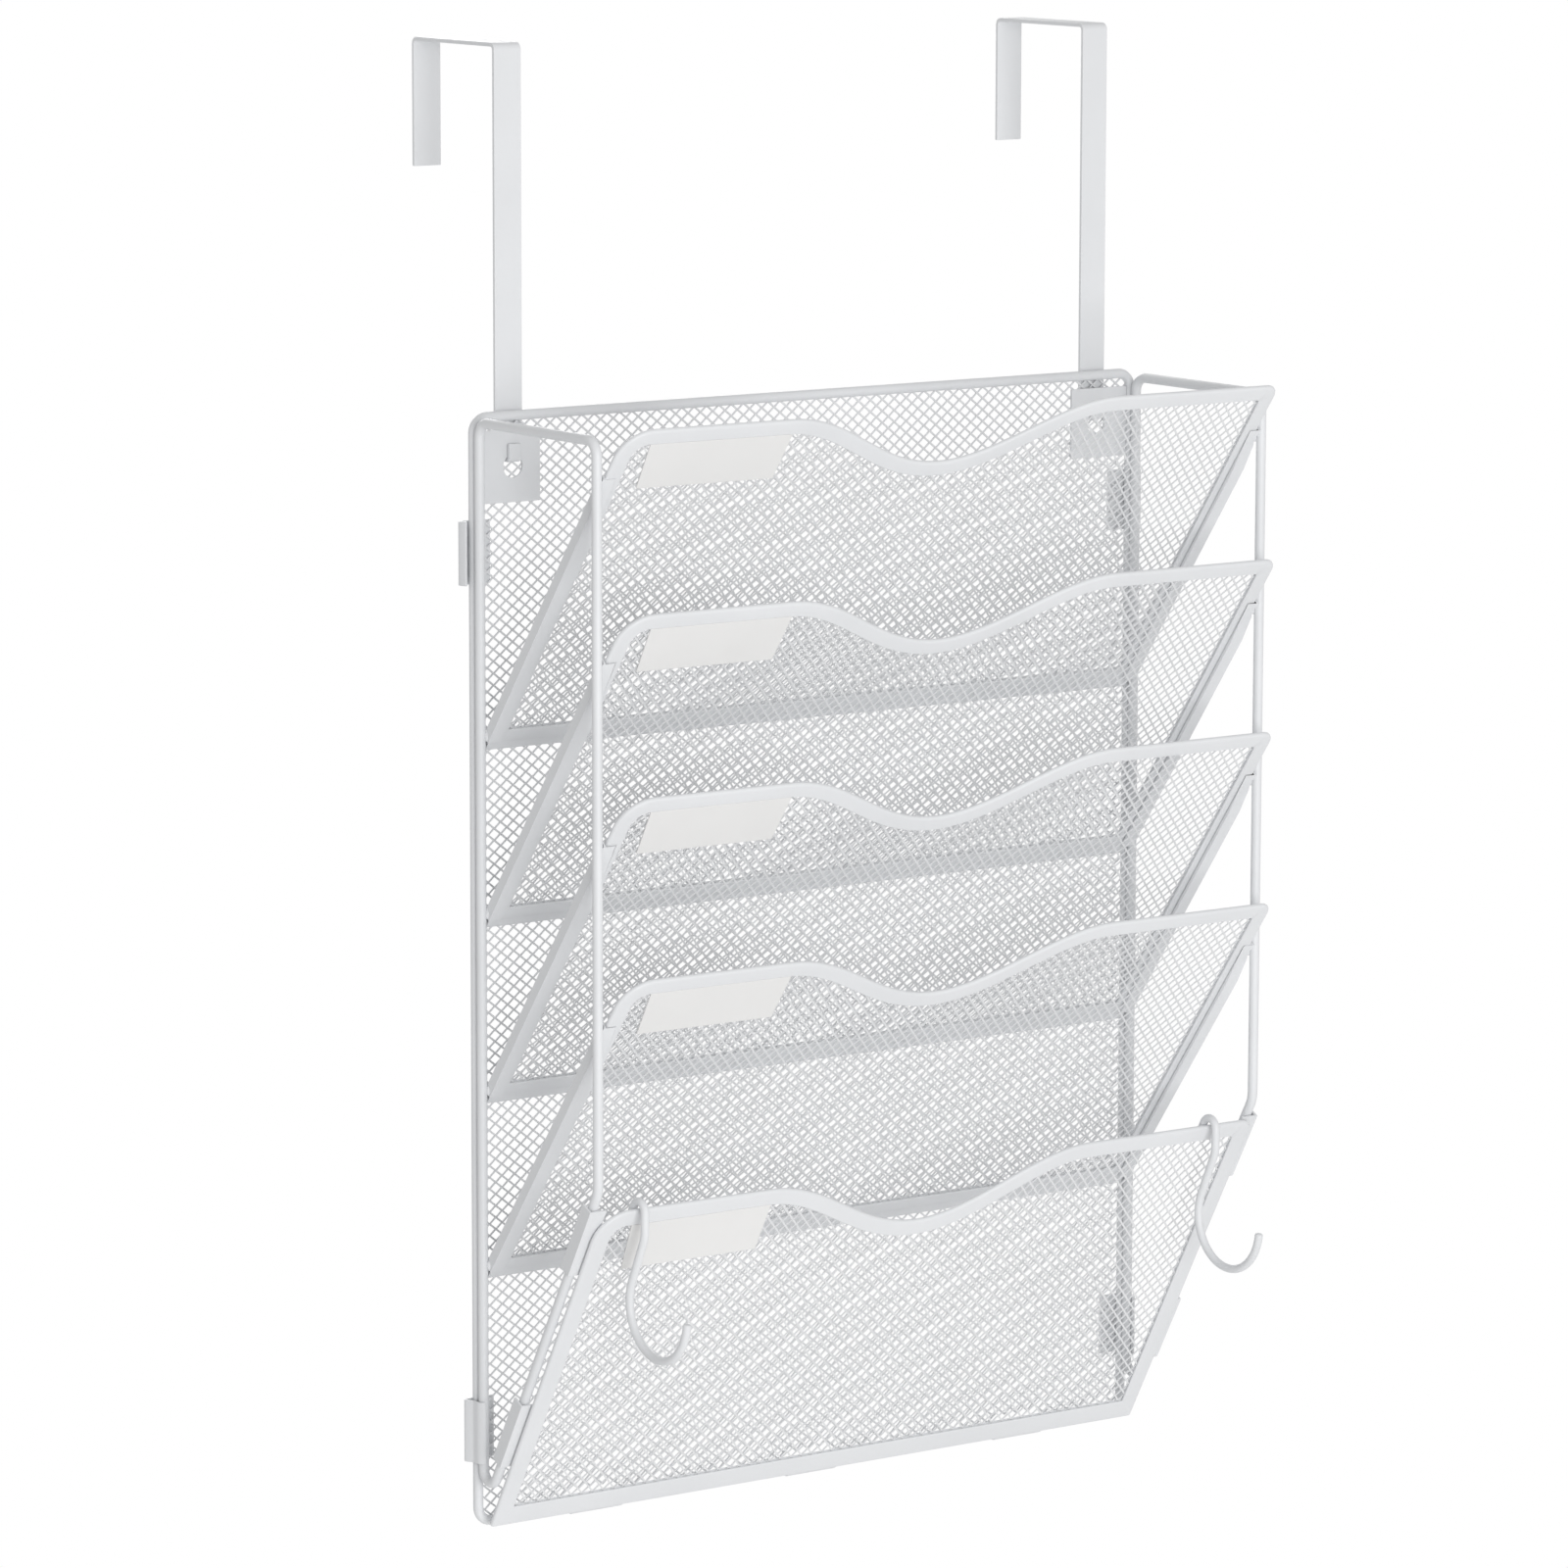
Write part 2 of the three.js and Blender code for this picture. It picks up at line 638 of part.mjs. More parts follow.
// Pockets 1 to 4: the sheet stands on the barrel that turns on its rod, its front face flush with
// the barrel's front. Local Z runs up the sheet.
function buildPocket(number) {
  const group = new THREE.Group();
  group.position.set(0, rodY, firstRodZ - (number - 1) * pocketPitch);
  group.rotation.x = pocketLean;
  organizer.add(group);
  const back = hemThickness - barrelRadius;
  const bore = boreRadius(rodDiameter / 2 + seatGap, 12);
  const body = hem(pocketHalf, 0, pocketHeight, bottomHem, back)
    .add(solid(cylinderAlongX(barrelRadius, pocketHalf, 16)))
    .subtract(solid(cylinderAlongX(bore, pocketHalf + cutOverrun, 12)));
  piece(group, `pocket_${number}_frame`, geometryOf(body), enamel);
  const meshBody = pocketNet(pocketHalf, 0, pocketHeight, bottomHem, back);
  piece(group, `pocket_${number}_mesh`, geometryOf(meshBody), meshEnamel);
  piece(group, `label_plate_${number}`, labelPlate(pocketHeight, back), labelPaint);
}

// A sleeve round the bottom wire, on a web that runs over the wire from the foot of pocket 5's hem
function sleeve(x) {
  const outer = wireRadius + seatGap + sleeveWall;
  const [x0, halfWidth] = [x - sleeveWidth / 2, sleeveWidth / 2];
  const web = [
    point(0, outer - sleeveWall / 2), point(-lowerFaceOffset + hemThickness / 2, lowerFoot + sleeveWall)];
  const tube = cylinderAlongX(outer, halfWidth, 16);
  tube.translate(x, 0, 0);
  return solid(profileAlongX(stripOutline(web, sleeveWall), x0, x0 + sleeveWidth)).add(solid(tube));
}

const lowerPocket = new THREE.Group();

function buildLowerPocket() {
  lowerPocket.position.set(0, backWireY, bottomWireZ);
  lowerPocket.rotation.x = lowerLean;
  organizer.add(lowerPocket);
  const back = hemThickness - lowerFaceOffset;
  let body = hem(lowerHalf, lowerFoot, lowerHeight, lowerBottomHem, back);
  for (const x of sleevePlaces()) {
    body = body.add(sleeve(x));
  }
  const bore = boreRadius(wireRadius + seatGap, 12);
  body = body.subtract(solid(cylinderAlongX(bore, halfFrame, 12)));
  piece(lowerPocket, 'pocket_5_frame', geometryOf(body), enamel);
  const meshBody = pocketNet(lowerHalf, lowerFoot, lowerHeight, lowerBottomHem, back);
  piece(lowerPocket, 'pocket_5_mesh', geometryOf(meshBody), meshEnamel);
  piece(lowerPocket, 'label_plate_5', labelPlate(lowerHeight, back), labelPaint);
}

// An S-hook in Y and Z: a tail behind the rim, a loop over it, a slanted stem and an open curl
function hookLine() {
  const rim = point(backWireY, bottomWireZ).addScaledVector(lowerUp, lowerHeight)
    .addScaledVector(lowerOut, lowerFaceOffset - hemThickness / 2);
  const loop = point(rim.x - hookLoopForward, rim.y - hookLoopDrop);
  const curl = point(loop.x - hookCurlForward, loop.y - hookCurlDrop);
  const over = arc(loop, hookLoopRadius, lowerLean, Math.PI, loopSteps);
  const tail = over[0].clone().addScaledVector(lowerUp, -hookTailLength);
  const neck = point(loop.x - hookLoopRadius, loop.y - hookNeckDrop);
  const toNeck = neck.clone().sub(curl);
  const tangent = toNeck.angle() - Math.acos(hookCurlRadius / toNeck.length());
  const bottom = arc(curl, hookCurlRadius, tangent, -hookCurlEnd, curlSteps);
  const bend = cornerArc(over[over.length - 1], neck, bottom[0], hookNeckRadius, neckSteps);
  return [tail, ...over, ...bend, ...bottom];
}

function buildSHook(name, x) {
  const place = (y, z, side) => new THREE.Vector3(x + side, y, z);
  piece(organizer, name, wire(hookLine(), hookWire / 2, hookSides, false, place), enamel);
}

buildBackFrame();
buildBackMesh();
for (const [label, side] of [['left', -1], ['right', 1]]) {
  buildKeyholePlate(`keyhole_plate_${label}`, side);
  buildDoorHook(`door_hook_${label}`, side);
  buildSideFrame(label, side);
  buildClip(`hinge_clip_upper_${label}`, side, false, topWireZ - upperClipDrop - clipHeight);
  buildClip(`hinge_clip_lower_${label}`, side, true, bottomWireZ + lowerClipRise);
}
for (let i = 0; i < pocketCount; i++) {
  buildHingeRod(`hinge_rod_${i + 1}`, firstRodZ - i * pocketPitch);
  buildPocket(i + 1);
}
buildLowerPocket();
buildSHook('s_hook_left', -halfFrame + leftHookInset);
buildSHook('s_hook_right', halfFrame - rightHookInset);

export default organizer;
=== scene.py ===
import json
import math

import bmesh
import bpy
from mathutils import Matrix, Vector


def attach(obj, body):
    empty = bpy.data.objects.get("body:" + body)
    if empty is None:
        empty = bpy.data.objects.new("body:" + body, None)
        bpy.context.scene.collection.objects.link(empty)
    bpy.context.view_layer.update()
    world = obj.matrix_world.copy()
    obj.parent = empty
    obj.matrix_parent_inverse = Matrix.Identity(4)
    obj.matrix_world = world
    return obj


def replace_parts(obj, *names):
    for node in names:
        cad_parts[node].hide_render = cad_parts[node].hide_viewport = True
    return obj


# A hanging document organizer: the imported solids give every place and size, and the pieces made here
# stand for them with round wires, folded hems, fine expanded metal, weld beads and powder coat.
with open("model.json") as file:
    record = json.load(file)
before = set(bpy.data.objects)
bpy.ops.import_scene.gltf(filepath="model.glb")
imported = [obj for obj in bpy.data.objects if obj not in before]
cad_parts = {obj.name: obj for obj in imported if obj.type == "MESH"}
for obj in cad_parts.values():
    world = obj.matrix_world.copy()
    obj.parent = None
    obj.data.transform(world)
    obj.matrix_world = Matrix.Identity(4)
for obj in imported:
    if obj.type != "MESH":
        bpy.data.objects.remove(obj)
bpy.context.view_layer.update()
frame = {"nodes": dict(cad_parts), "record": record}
scene = bpy.context.scene
mm = 0.001
slotOf = {part["node"]: part["material_slot"] for part in frame["record"]["subparts"]}
bodyOf = {node: body for body, nodes in frame["record"]["behaviour"]["bodies"].items() for node in nodes}
print("stage: frame loaded,", len(frame["nodes"]), "nodes")

cameraSizes = {
    "place": (-1.6074, -2.2799, 0.1415),
    "aim": (0.5666, 0.8090, -0.1562),
    "lens": 161.1,
    "roll": -0.131,
}

wireSizes = {
    "halfWidth": 160, "topZ": -142, "bottomZ": -580.3, "backY": -3.8, "radius": 2,
    "cornerRadius": 6, "sides": 24, "bendSteps": 10,
}

sideSizes = {
    "rearY": -8.1, "frontY": -90.1, "topZ": -143.4,
    "topRadius": 6, "kneeRadius": 12, "footRadius": 5,
    "bracketFace": 5.08, "bracketThickness": 1, "gap": 0.3,
}

rodSizes = {
    "y": -5.4, "z": [-269.6, -339.6, -409.6, -479.6], "radius": 1.2, "halfLength": 158,
    "ends": 0.3, "sides": 20,
}

rimSizes = {
    "waveDepth": 28, "waveCentre": 1, "leftRun": 81, "rightRun": 76, "waveSteps": 56,
    "leftRadius": 14, "rightRadius": 5, "footRadius": 1.2, "leastRadius": 1.5, "leastFootRadius": 0.3,
    "cornerSteps": 10, "footSteps": 4, "foldSteps": 8, "thickness": 2.2, "netDepth": 1.2,
    "frontLip": 0.78, "rearLip": 1.62, "lipGroove": 0.4, "lipEdge": 0.3,
}

upperSizes = {
    "lean": math.radians(36.8), "half": 156.9, "height": 164.4, "bottom": 7.5, "foot": 1.55,
    "back": 0.1, "side": 7, "rim": 6.8, "netHalf": 152.6, "netLow": 4.8, "netTop": 158.1,
    "labelRise": 2.9,
    "barrelRadius": 1.8, "barrelWall": 0.6, "barrelTop": 4, "barrelLow": 0.6,
    "barrelCurl": math.radians(265), "barrelSteps": 22, "barrelEdge": 0.12,
}

lowerSizes = {
    "lean": math.radians(29.6), "half": 159.3, "height": 164.7, "bottom": 9.5, "foot": 3.3,
    "back": -5.38, "side": 7.75, "rim": 7.2, "netHalf": 155, "netLow": 10.1, "netTop": 158.4,
    "labelRise": 2.5,
    "sleeveRadius": 2.77, "sleeveWall": 1, "sleeveWidth": 24, "sleevePlaces": [-105, 0, 105],
    "sleeveStart": math.radians(105), "sleeveEnd": math.radians(-205), "sleeveSteps": 32,
    "sleeveEdge": 0.2,
}

strutSizes = {"run": 9, "flat": 2.8, "front": 3, "pressed": 2.4, "edge": 0.2}

labelSizes = {"leftFoot": 1.3, "leftTop": 3.7, "right": 3, "edge": 0.15}

pressedEdges = {"doorHook": 0.3, "keyholePlate": 0.2, "hingeClip": 0.25, "bracket": 0.25}

beadSizes = {
    "radius": 1.05, "stretch": 1.8, "ripple": 0.22, "rippleSize": 900.0, "subdivisions": 4,
    "out": 158.2, "depth": -1.25, "frontUp": 136.9, "rearUp": 5.8,
}

netSizes = {
    "backAcross": 5.9, "backUp": 4.7, "pocketAcross": 5.07, "pocketUp": 5.6,
    "knotHalfWidth": 0.58, "knotHalfHeight": 0.42, "thickness": 0.45, "relief": 0.16, "cover": 0.2,
}

backNetSizes = {
    "sideInset": 1.6, "topInset": 3.4, "bottomInset": 1.2, "cornerInset": 1, "cornerSteps": 6,
    "depth": -2.35,
    "slotAcross": 142.2, "slotHalf": 3.6, "slotLow": -161.2, "slotHigh": -157.6,
    "sleeveHalf": 12.9, "sleeveLow": 0.3, "sleeveHigh": 3.3,
}

hookSizes = {
    "radius": 1.65, "sides": 20, "ends": 0.7, "places": {"left": -141.8, "right": 137},
    "loopRadius": 4, "loopForward": 0.3, "loopDrop": 1, "loopSteps": 16, "tail": 7,
    "neckDrop": 9.2, "neckRadius": 12, "neckSteps": 8,
    "curlRadius": 19.7, "curlForward": 13.1, "curlDrop": 36.2, "curlEnd": math.radians(175),
    "curlSteps": 44,
}

# Film and pits are thresholds of the noises, in their own units
powderSizes = {
    "filmDetail": 3, "filmLow": 0.32, "filmHigh": 0.68, "peelDetail": 2, "peelRoughness": 0.4,
    "pitSize": 260, "pitLow": 0.04, "pitHigh": 0.11, "bump": 0.55,
}

coatSizes = {
    "enamel": {
        "name": "whitePowderCoat", "thick": (0.765, 0.775, 0.79), "thin": (0.735, 0.745, 0.76),
        "peelSize": 700, "peelDepth": 0.00003, "filmSize": 22, "roughness": (0.38, 0.52), "specular": 0.45,
    },
    "mesh_enamel": {
        "name": "powderCoatOnExpandedMetal", "thick": (0.765, 0.772, 0.783), "thin": (0.73, 0.737, 0.748),
        "peelSize": 900, "peelDepth": 0.00002, "filmSize": 30, "roughness": (0.44, 0.58), "specular": 0.4,
    },
    "label": {
        "name": "smoothLabelPlate", "thick": (0.80, 0.795, 0.787), "thin": (0.785, 0.78, 0.772),
        "peelSize": 1500, "peelDepth": 0.00001, "filmSize": 40, "roughness": (0.5, 0.6), "specular": 0.35,
    },
}

# Metres, unless an angle
meshLimits = {
    "merge": 1e-7, "copyMerge": 2e-6, "flat": math.radians(0.4), "netMerge": 0.00003,
    "bevelAngle": math.radians(30), "stripAngle": math.radians(50), "hemAngle": math.radians(40),
    "rayStart": -0.01, "rayLength": 0.02,
}

floorSizes = {"half": 30, "height": -2.03, "tone": 0.9, "roughness": 0.9}

lightSizes = {"aim": (0, -0.05, -0.3), "panel": (1.6, 1.6), "soft": 0.55}


# Camera first, so that every later stage can be looked at
def makeCamera():
    data = bpy.data.cameras.new("photoCamera")
    data.sensor_width = 36
    data.lens = cameraSizes["lens"]
    data.clip_start, data.clip_end = 0.05, 60
    camera = bpy.data.objects.new("photoCamera", data)
    scene.collection.objects.link(camera)
    camera.location = cameraSizes["place"]
    camera.rotation_mode = "QUATERNION"
    aim = Vector(cameraSizes["aim"]).normalized()
    turn = Matrix.Rotation(math.radians(cameraSizes["roll"]), 4, aim)
    level = aim.to_track_quat("-Z", "Y").to_matrix().to_4x4()
    camera.rotation_quaternion = (turn @ level).to_quaternion()
    scene.camera = camera


makeCamera()
print("stage: camera")


# Shader groups and materials
def addSocket(tree, name, kind, way, value=None):
    socket = tree.interface.new_socket(name=name, in_out=way, socket_type=kind)
    if value is not None:
        socket.default_value = value


def link(tree, source, target):
    tree.links.new(source, target)


def powderGroup():
    # Sprayed and baked powder: a fine orange peel, slow changes of film thickness and a few pinholes
    s = powderSizes
    tree = bpy.data.node_groups.new("powderCoat", "ShaderNodeTree")
    addSocket(tree, "Place", "NodeSocketVector", "INPUT")
    addSocket(tree, "Thick Film", "NodeSocketColor", "INPUT", (0.76, 0.77, 0.785, 1))
    addSocket(tree, "Thin Film", "NodeSocketColor", "INPUT", (0.72, 0.73, 0.745, 1))
    addSocket(tree, "Peel Size", "NodeSocketFloat", "INPUT", 700.0)
    addSocket(tree, "Peel Depth", "NodeSocketFloat", "INPUT", 0.00003)
    addSocket(tree, "Film Size", "NodeSocketFloat", "INPUT", 22.0)
    addSocket(tree, "Least Roughness", "NodeSocketFloat", "INPUT", 0.38)
    addSocket(tree, "Most Roughness", "NodeSocketFloat", "INPUT", 0.52)
    addSocket(tree, "Color", "NodeSocketColor", "OUTPUT")
    addSocket(tree, "Roughness", "NodeSocketFloat", "OUTPUT")
    addSocket(tree, "Normal", "NodeSocketVector", "OUTPUT")
    taken = tree.nodes.new("NodeGroupInput")
    given = tree.nodes.new("NodeGroupOutput")
    film = tree.nodes.new("ShaderNodeTexNoise")
    film.inputs["Detail"].default_value = s["filmDetail"]
    link(tree, taken.outputs["Place"], film.inputs["Vector"])
    link(tree, taken.outputs["Film Size"], film.inputs["Scale"])
    spread = tree.nodes.new("ShaderNodeMapRange")
    spread.inputs["From Min"].default_value = s["filmLow"]
    spread.inputs["From Max"].default_value = s["filmHigh"]
    link(tree, film.outputs["Fac"], spread.inputs["Value"])
    peel = tree.nodes.new("ShaderNodeTexNoise")
    peel.inputs["Detail"].default_value = s["peelDetail"]
    peel.inputs["Roughness"].default_value = s["peelRoughness"]
    link(tree, taken.outputs["Place"], peel.inputs["Vector"])
    link(tree, taken.outputs["Peel Size"], peel.inputs["Scale"])
    pits = tree.nodes.new("ShaderNodeTexVoronoi")
    pits.inputs["Scale"].default_value = s["pitSize"]
    link(tree, taken.outputs["Place"], pits.inputs["Vector"])
    pinhole = tree.nodes.new("ShaderNodeMapRange")
    pinhole.inputs["From Min"].default_value = s["pitLow"]
    pinhole.inputs["From Max"].default_value = s["pitHigh"]
    link(tree, pits.outputs["Distance"], pinhole.inputs["Value"])
    surface = tree.nodes.new("ShaderNodeMath")
    surface.operation = "MULTIPLY"
    link(tree, peel.outputs["Fac"], surface.inputs[0])
    link(tree, pinhole.outputs["Result"], surface.inputs[1])
    bump = tree.nodes.new("ShaderNodeBump")
    bump.inputs["Strength"].default_value = s["bump"]
    link(tree, taken.outputs["Peel Depth"], bump.inputs["Distance"])
    link(tree, surface.outputs["Value"], bump.inputs["Height"])
    tone = tree.nodes.new("ShaderNodeMix")
    tone.data_type = "RGBA"
    link(tree, spread.outputs["Result"], tone.inputs["Factor"])
    link(tree, taken.outputs["Thin Film"], tone.inputs["A"])
    link(tree, taken.outputs["Thick Film"], tone.inputs["B"])
    gloss = tree.nodes.new("ShaderNodeMapRange")
    link(tree, peel.outputs["Fac"], gloss.inputs["Value"])
    link(tree, taken.outputs["Least Roughness"], gloss.inputs["To Min"])
    link(tree, taken.outputs["Most Roughness"], gloss.inputs["To Max"])
    link(tree, tone.outputs["Result"], given.inputs["Color"])
    link(tree, gloss.outputs["Result"], given.inputs["Roughness"])
    link(tree, bump.outputs["Normal"], given.inputs["Normal"])
    return tree


powder = powderGroup()


def coatMaterial(coat):
    material = bpy.data.materials.new(coat["name"])
    material.use_nodes = True
    tree = material.node_tree
    shader = tree.nodes["Principled BSDF"]
    shader.inputs["Specular IOR Level"].default_value = coat["specular"]
    place = tree.nodes.new("ShaderNodeTexCoord")
    group = tree.nodes.new("ShaderNodeGroup")
    group.node_tree = powder
    group.inputs["Thick Film"].default_value = (*coat["thick"], 1)
    group.inputs["Thin Film"].default_value = (*coat["thin"], 1)
    group.inputs["Peel Size"].default_value = coat["peelSize"]
    group.inputs["Peel Depth"].default_value = coat["peelDepth"]
    group.inputs["Film Size"].default_value = coat["filmSize"]
    group.inputs["Least Roughness"].default_value = coat["roughness"][0]
    group.inputs["Most Roughness"].default_value = coat["roughness"][1]
    link(tree, place.outputs["Object"], group.inputs["Place"])
    link(tree, group.outputs["Color"], shader.inputs["Base Color"])
    link(tree, group.outputs["Roughness"], shader.inputs["Roughness"])
    link(tree, group.outputs["Normal"], shader.inputs["Normal"])
    return material


materials = {slot: coatMaterial(coat) for slot, coat in coatSizes.items()}
print("stage: materials")


# Meshes
def addPiece(name, mesh, node):
    made = bpy.data.objects.new(name, mesh)
    scene.collection.objects.link(made)
    mesh.materials.clear()
    mesh.materials.append(materials[slotOf[node]])
    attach(made, bodyOf[node])
    return made


def meshOf(name, points, faces):
    mesh = bpy.data.meshes.new(name)
    mesh.from_pydata([tuple(c * mm for c in point) for point in points], [], faces)
    work = bmesh.new()
    work.from_mesh(mesh)
    bmesh.ops.remove_doubles(work, verts=work.verts, dist=meshLimits["merge"])
    bmesh.ops.recalc_face_normals(work, faces=work.faces)
    for face in work.faces:
        face.smooth = True
    work.to_mesh(mesh)
    work.free()
    return mesh


def markSharp(mesh, limit):
    work = bmesh.new()
    work.from_mesh(mesh)
    for edge in work.edges:
        edge.smooth = not (edge.is_manifold and edge.calc_face_angle(0) > limit)
    work.to_mesh(mesh)
    work.free()


def bevelled(mesh, width, segments=2, limit=meshLimits["bevelAngle"]):
    # The edges of a cut or pressed sheet, broken by the coat
    carrier = bpy.data.objects.new("carrier", mesh)
    scene.collection.objects.link(carrier)
    mesh.polygons.foreach_set("use_smooth", [True] * len(mesh.polygons))
    bevel = carrier.modifiers.new("edges", "BEVEL")
    bevel.width = width * mm
    bevel.segments = segments
    bevel.limit_method = "ANGLE"
    bevel.angle_limit = limit
    bevel.harden_normals = True
    bpy.context.view_layer.update()
    graph = bpy.context.evaluated_depsgraph_get()
    result = bpy.data.meshes.new_from_object(carrier.evaluated_get(graph))
    result.name = mesh.name
    bpy.data.objects.remove(carrier)
    return result


def copyOfNode(node):
    mesh = frame["nodes"][node].data.copy()
    work = bmesh.new()
    work.from_mesh(mesh)
    bmesh.ops.remove_doubles(work, verts=work.verts, dist=meshLimits["copyMerge"])
    bmesh.ops.dissolve_limit(work, angle_limit=meshLimits["flat"], verts=work.verts, edges=work.edges)
    work.to_mesh(mesh)
    work.free()
    normals = mesh.attributes.get("custom_normal")
    if normals:
        mesh.attributes.remove(normals)
    return mesh


def softened(name, node, width, segments=2):
    mesh = bevelled(copyOfNode(node), width, segments)
    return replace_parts(addPiece(name, mesh, node), node)


def pressedStrut(name, node, place):
    # The strut's front face is pressed down towards the hem at the end by the front wire
    s, mesh = strutSizes, copyOfNode(node)
    end, inverse = sideSizes["frontY"], place.inverted()
    bend = (0, (end + s["run"]) * mm, 0)
    work = bmesh.new()
    work.from_mesh(mesh)
    everything = work.verts[:] + work.edges[:] + work.faces[:]
    bmesh.ops.bisect_plane(work, geom=everything, plane_co=bend, plane_no=(0, 1, 0))
    for vertex in work.verts:
        spot = inverse @ vertex.co
        if vertex.co.y < (end + s["flat"]) * mm and spot.y < -s["front"] * mm:
            spot.y = -s["pressed"] * mm
            vertex.co = place @ spot
    work.to_mesh(mesh)
    work.free()
    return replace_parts(addPiece(name, bevelled(mesh, s["edge"]), node), node)


def arc(centre, radius, start, end, steps):
    angles = [start + (end - start) * step / steps for step in range(steps + 1)]
    return [(centre[0] + radius * math.cos(a), centre[1] + radius * math.sin(a)) for a in angles]


def cornerArc(before, corner, after, radius, steps):
    before, corner, after = Vector(before), Vector(corner), Vector(after)
    back, on = (before - corner).normalized(), (after - corner).normalized()
    half = math.acos(max(-1, min(1, back.dot(on)))) / 2
    start = corner + back * (radius / math.tan(half))
    centre = corner + (back + on).normalized() * (radius / math.sin(half))
    turn = -math.copysign(math.pi - 2 * half, back.x * on.y - back.y * on.x)
    spread = start - centre
    return [tuple(centre + Matrix.Rotation(turn * step / steps, 2) @ spread) for step in range(steps + 1)]


def roundedLoop(corners, radii, steps):
    count = len(corners)
    line = []
    for i, corner in enumerate(corners):
        line += cornerArc(corners[i - 1], corner, corners[(i + 1) % count], radii[i], steps)
    return line


def flatNormals(line, closed):
    # Unit normal of the mitre at each point, and how much the mitre stretches it
    count = len(line)
    found = []
    for i in range(count):
        here = Vector(line[i])
        before = Vector(line[i - 1]) if closed or i else None
        after = Vector(line[(i + 1) % count]) if closed or i < count - 1 else None
        into = (here - before).normalized() if before else (after - here).normalized()
        out = (after - here).normalized() if after else into
        along = (into + out).normalized()
        found.append((Vector((-along.y, along.x)), 1 / max(along.dot(into), 0.2), along))
    return found


def roundedEnd(centre, normal, way, radius, ends):
    # Rings that round off one end of a wire, from the full one outward
    steps = 4
    rings = [(centre - way * ends, normal, radius)]
    for step in range(1, steps + 1):
        angle = math.pi / 2 * step / steps
        shrink = radius - ends * (1 - math.cos(angle))
        rings.append((centre + way * (ends * math.sin(angle) - ends), normal, shrink))
    return rings


def tube(name, line, radius, sides, closed, place, ends=0.0):
    # A round wire along a line in a plane; place(a, b, out) puts a point of its skin in X, Y and Z
    normals = flatNormals(line, closed)
    rings = [(Vector(spot), normal * stretch, radius)
             for spot, (normal, stretch, _) in zip(line, normals)]
    if not closed:
        first, last = normals[0], normals[-1]
        start = roundedEnd(Vector(line[0]), first[0], -first[2], radius, ends)
        rings = start[::-1] + rings[1:-1] + roundedEnd(Vector(line[-1]), last[0], last[2], radius, ends)
    points, faces = [], []
    for centre, normal, size in rings:
        for side in range(sides):
            angle = 2 * math.pi * side / sides
            spot = centre + normal * (size * math.cos(angle))
            points.append(place(spot.x, spot.y, size * math.sin(angle)))
    count = len(rings)
    for i in range(count if closed else count - 1):
        low, high = i * sides, (i + 1) % count * sides
        for side in range(sides):
            beside = (side + 1) % sides
            faces.append((low + side, low + beside, high + beside, high + side))
    if not closed:
        faces.append(tuple(range(sides)))
        faces.append(tuple((count - 1) * sides + side for side in reversed(range(sides))))
    return meshOf(name, points, faces)


def strip(name, line, thickness, fromX, toX, edge):
    # A sheet bent along a line in Y and Z, between two places in X
    normals = flatNormals(line, False)
    left = [Vector(p) + n * (thickness / 2 * s) for p, (n, s, _) in zip(line, normals)]
    right = [Vector(p) - n * (thickness / 2 * s) for p, (n, s, _) in zip(line, normals)]
    outline = left + right[::-1]
    count = len(outline)
    points = [(x, p.x, p.y) for x in (fromX, toX) for p in outline]
    faces = [(i, (i + 1) % count, (i + 1) % count + count, i + count) for i in range(count)]
    half = len(line)
    for end in (0, count):
        for i in range(half - 1):
            faces.append((end + i, end + i + 1, end + count - 2 - i, end + count - 1 - i))
    return bevelled(meshOf(name, points, faces), edge, limit=meshLimits["stripAngle"])


def joined(name, meshes):
    work = bmesh.new()
    for mesh in meshes:
        work.from_mesh(mesh)
    made = bpy.data.meshes.new(name)
    work.to_mesh(made)
    work.free()
    return made


# Wires and rods
def makeWires():
    s = wireSizes
    right, top, bottom = s["halfWidth"], s["topZ"], s["bottomZ"]
    corners = [(right, bottom), (right, top), (-right, top), (-right, bottom)]
    line = roundedLoop(corners, [s["cornerRadius"]] * 4, s["bendSteps"])
    mesh = tube("backFrameWire", line, s["radius"], s["sides"], True,
                lambda x, z, out: (x, s["backY"] + out, z))
    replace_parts(addPiece("backFrameWire", mesh, "back_frame"), "back_frame")
    for label, side in (("left", -1), ("right", 1)):
        node = f"side_frame_{label}"
        mesh = tube(f"sideWire_{label}", sideLine(), s["radius"], s["sides"], True,
                    lambda y, z, out: (side * s["halfWidth"] + out, y, z))
        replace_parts(addPiece(f"sideWire_{label}", mesh, node), node)
    half = rodSizes["halfLength"]
    for number, z in enumerate(rodSizes["z"], 1):
        node = f"hinge_rod_{number}"
        mesh = tube(f"hingeRod_{number}", [(-half, z), (half, z)], rodSizes["radius"], rodSizes["sides"],
                    False, lambda x, up, out: (x, rodSizes["y"] + out, up), rodSizes["ends"])
        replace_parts(addPiece(f"hingeRod_{number}", mesh, node), node)


def slantZ(y):
    # Height of the side wire's slanted run, which lies behind pocket 5
    lean, s = lowerSizes["lean"], sideSizes
    offset = s["bracketFace"] - s["bracketThickness"] - s["gap"] - wireSizes["radius"]
    return wireSizes["bottomZ"] - (offset + (y - wireSizes["backY"]) * math.cos(lean)) / math.sin(lean)


def sideLine():
    s = sideSizes
    corners = [(s["rearY"], s["topZ"]), (s["frontY"], s["topZ"]),
               (s["frontY"], slantZ(s["frontY"])), (s["rearY"], slantZ(s["rearY"]))]
    radii = [s["topRadius"], s["topRadius"], s["kneeRadius"], s["footRadius"]]
    return roundedLoop(corners, radii, wireSizes["bendSteps"])


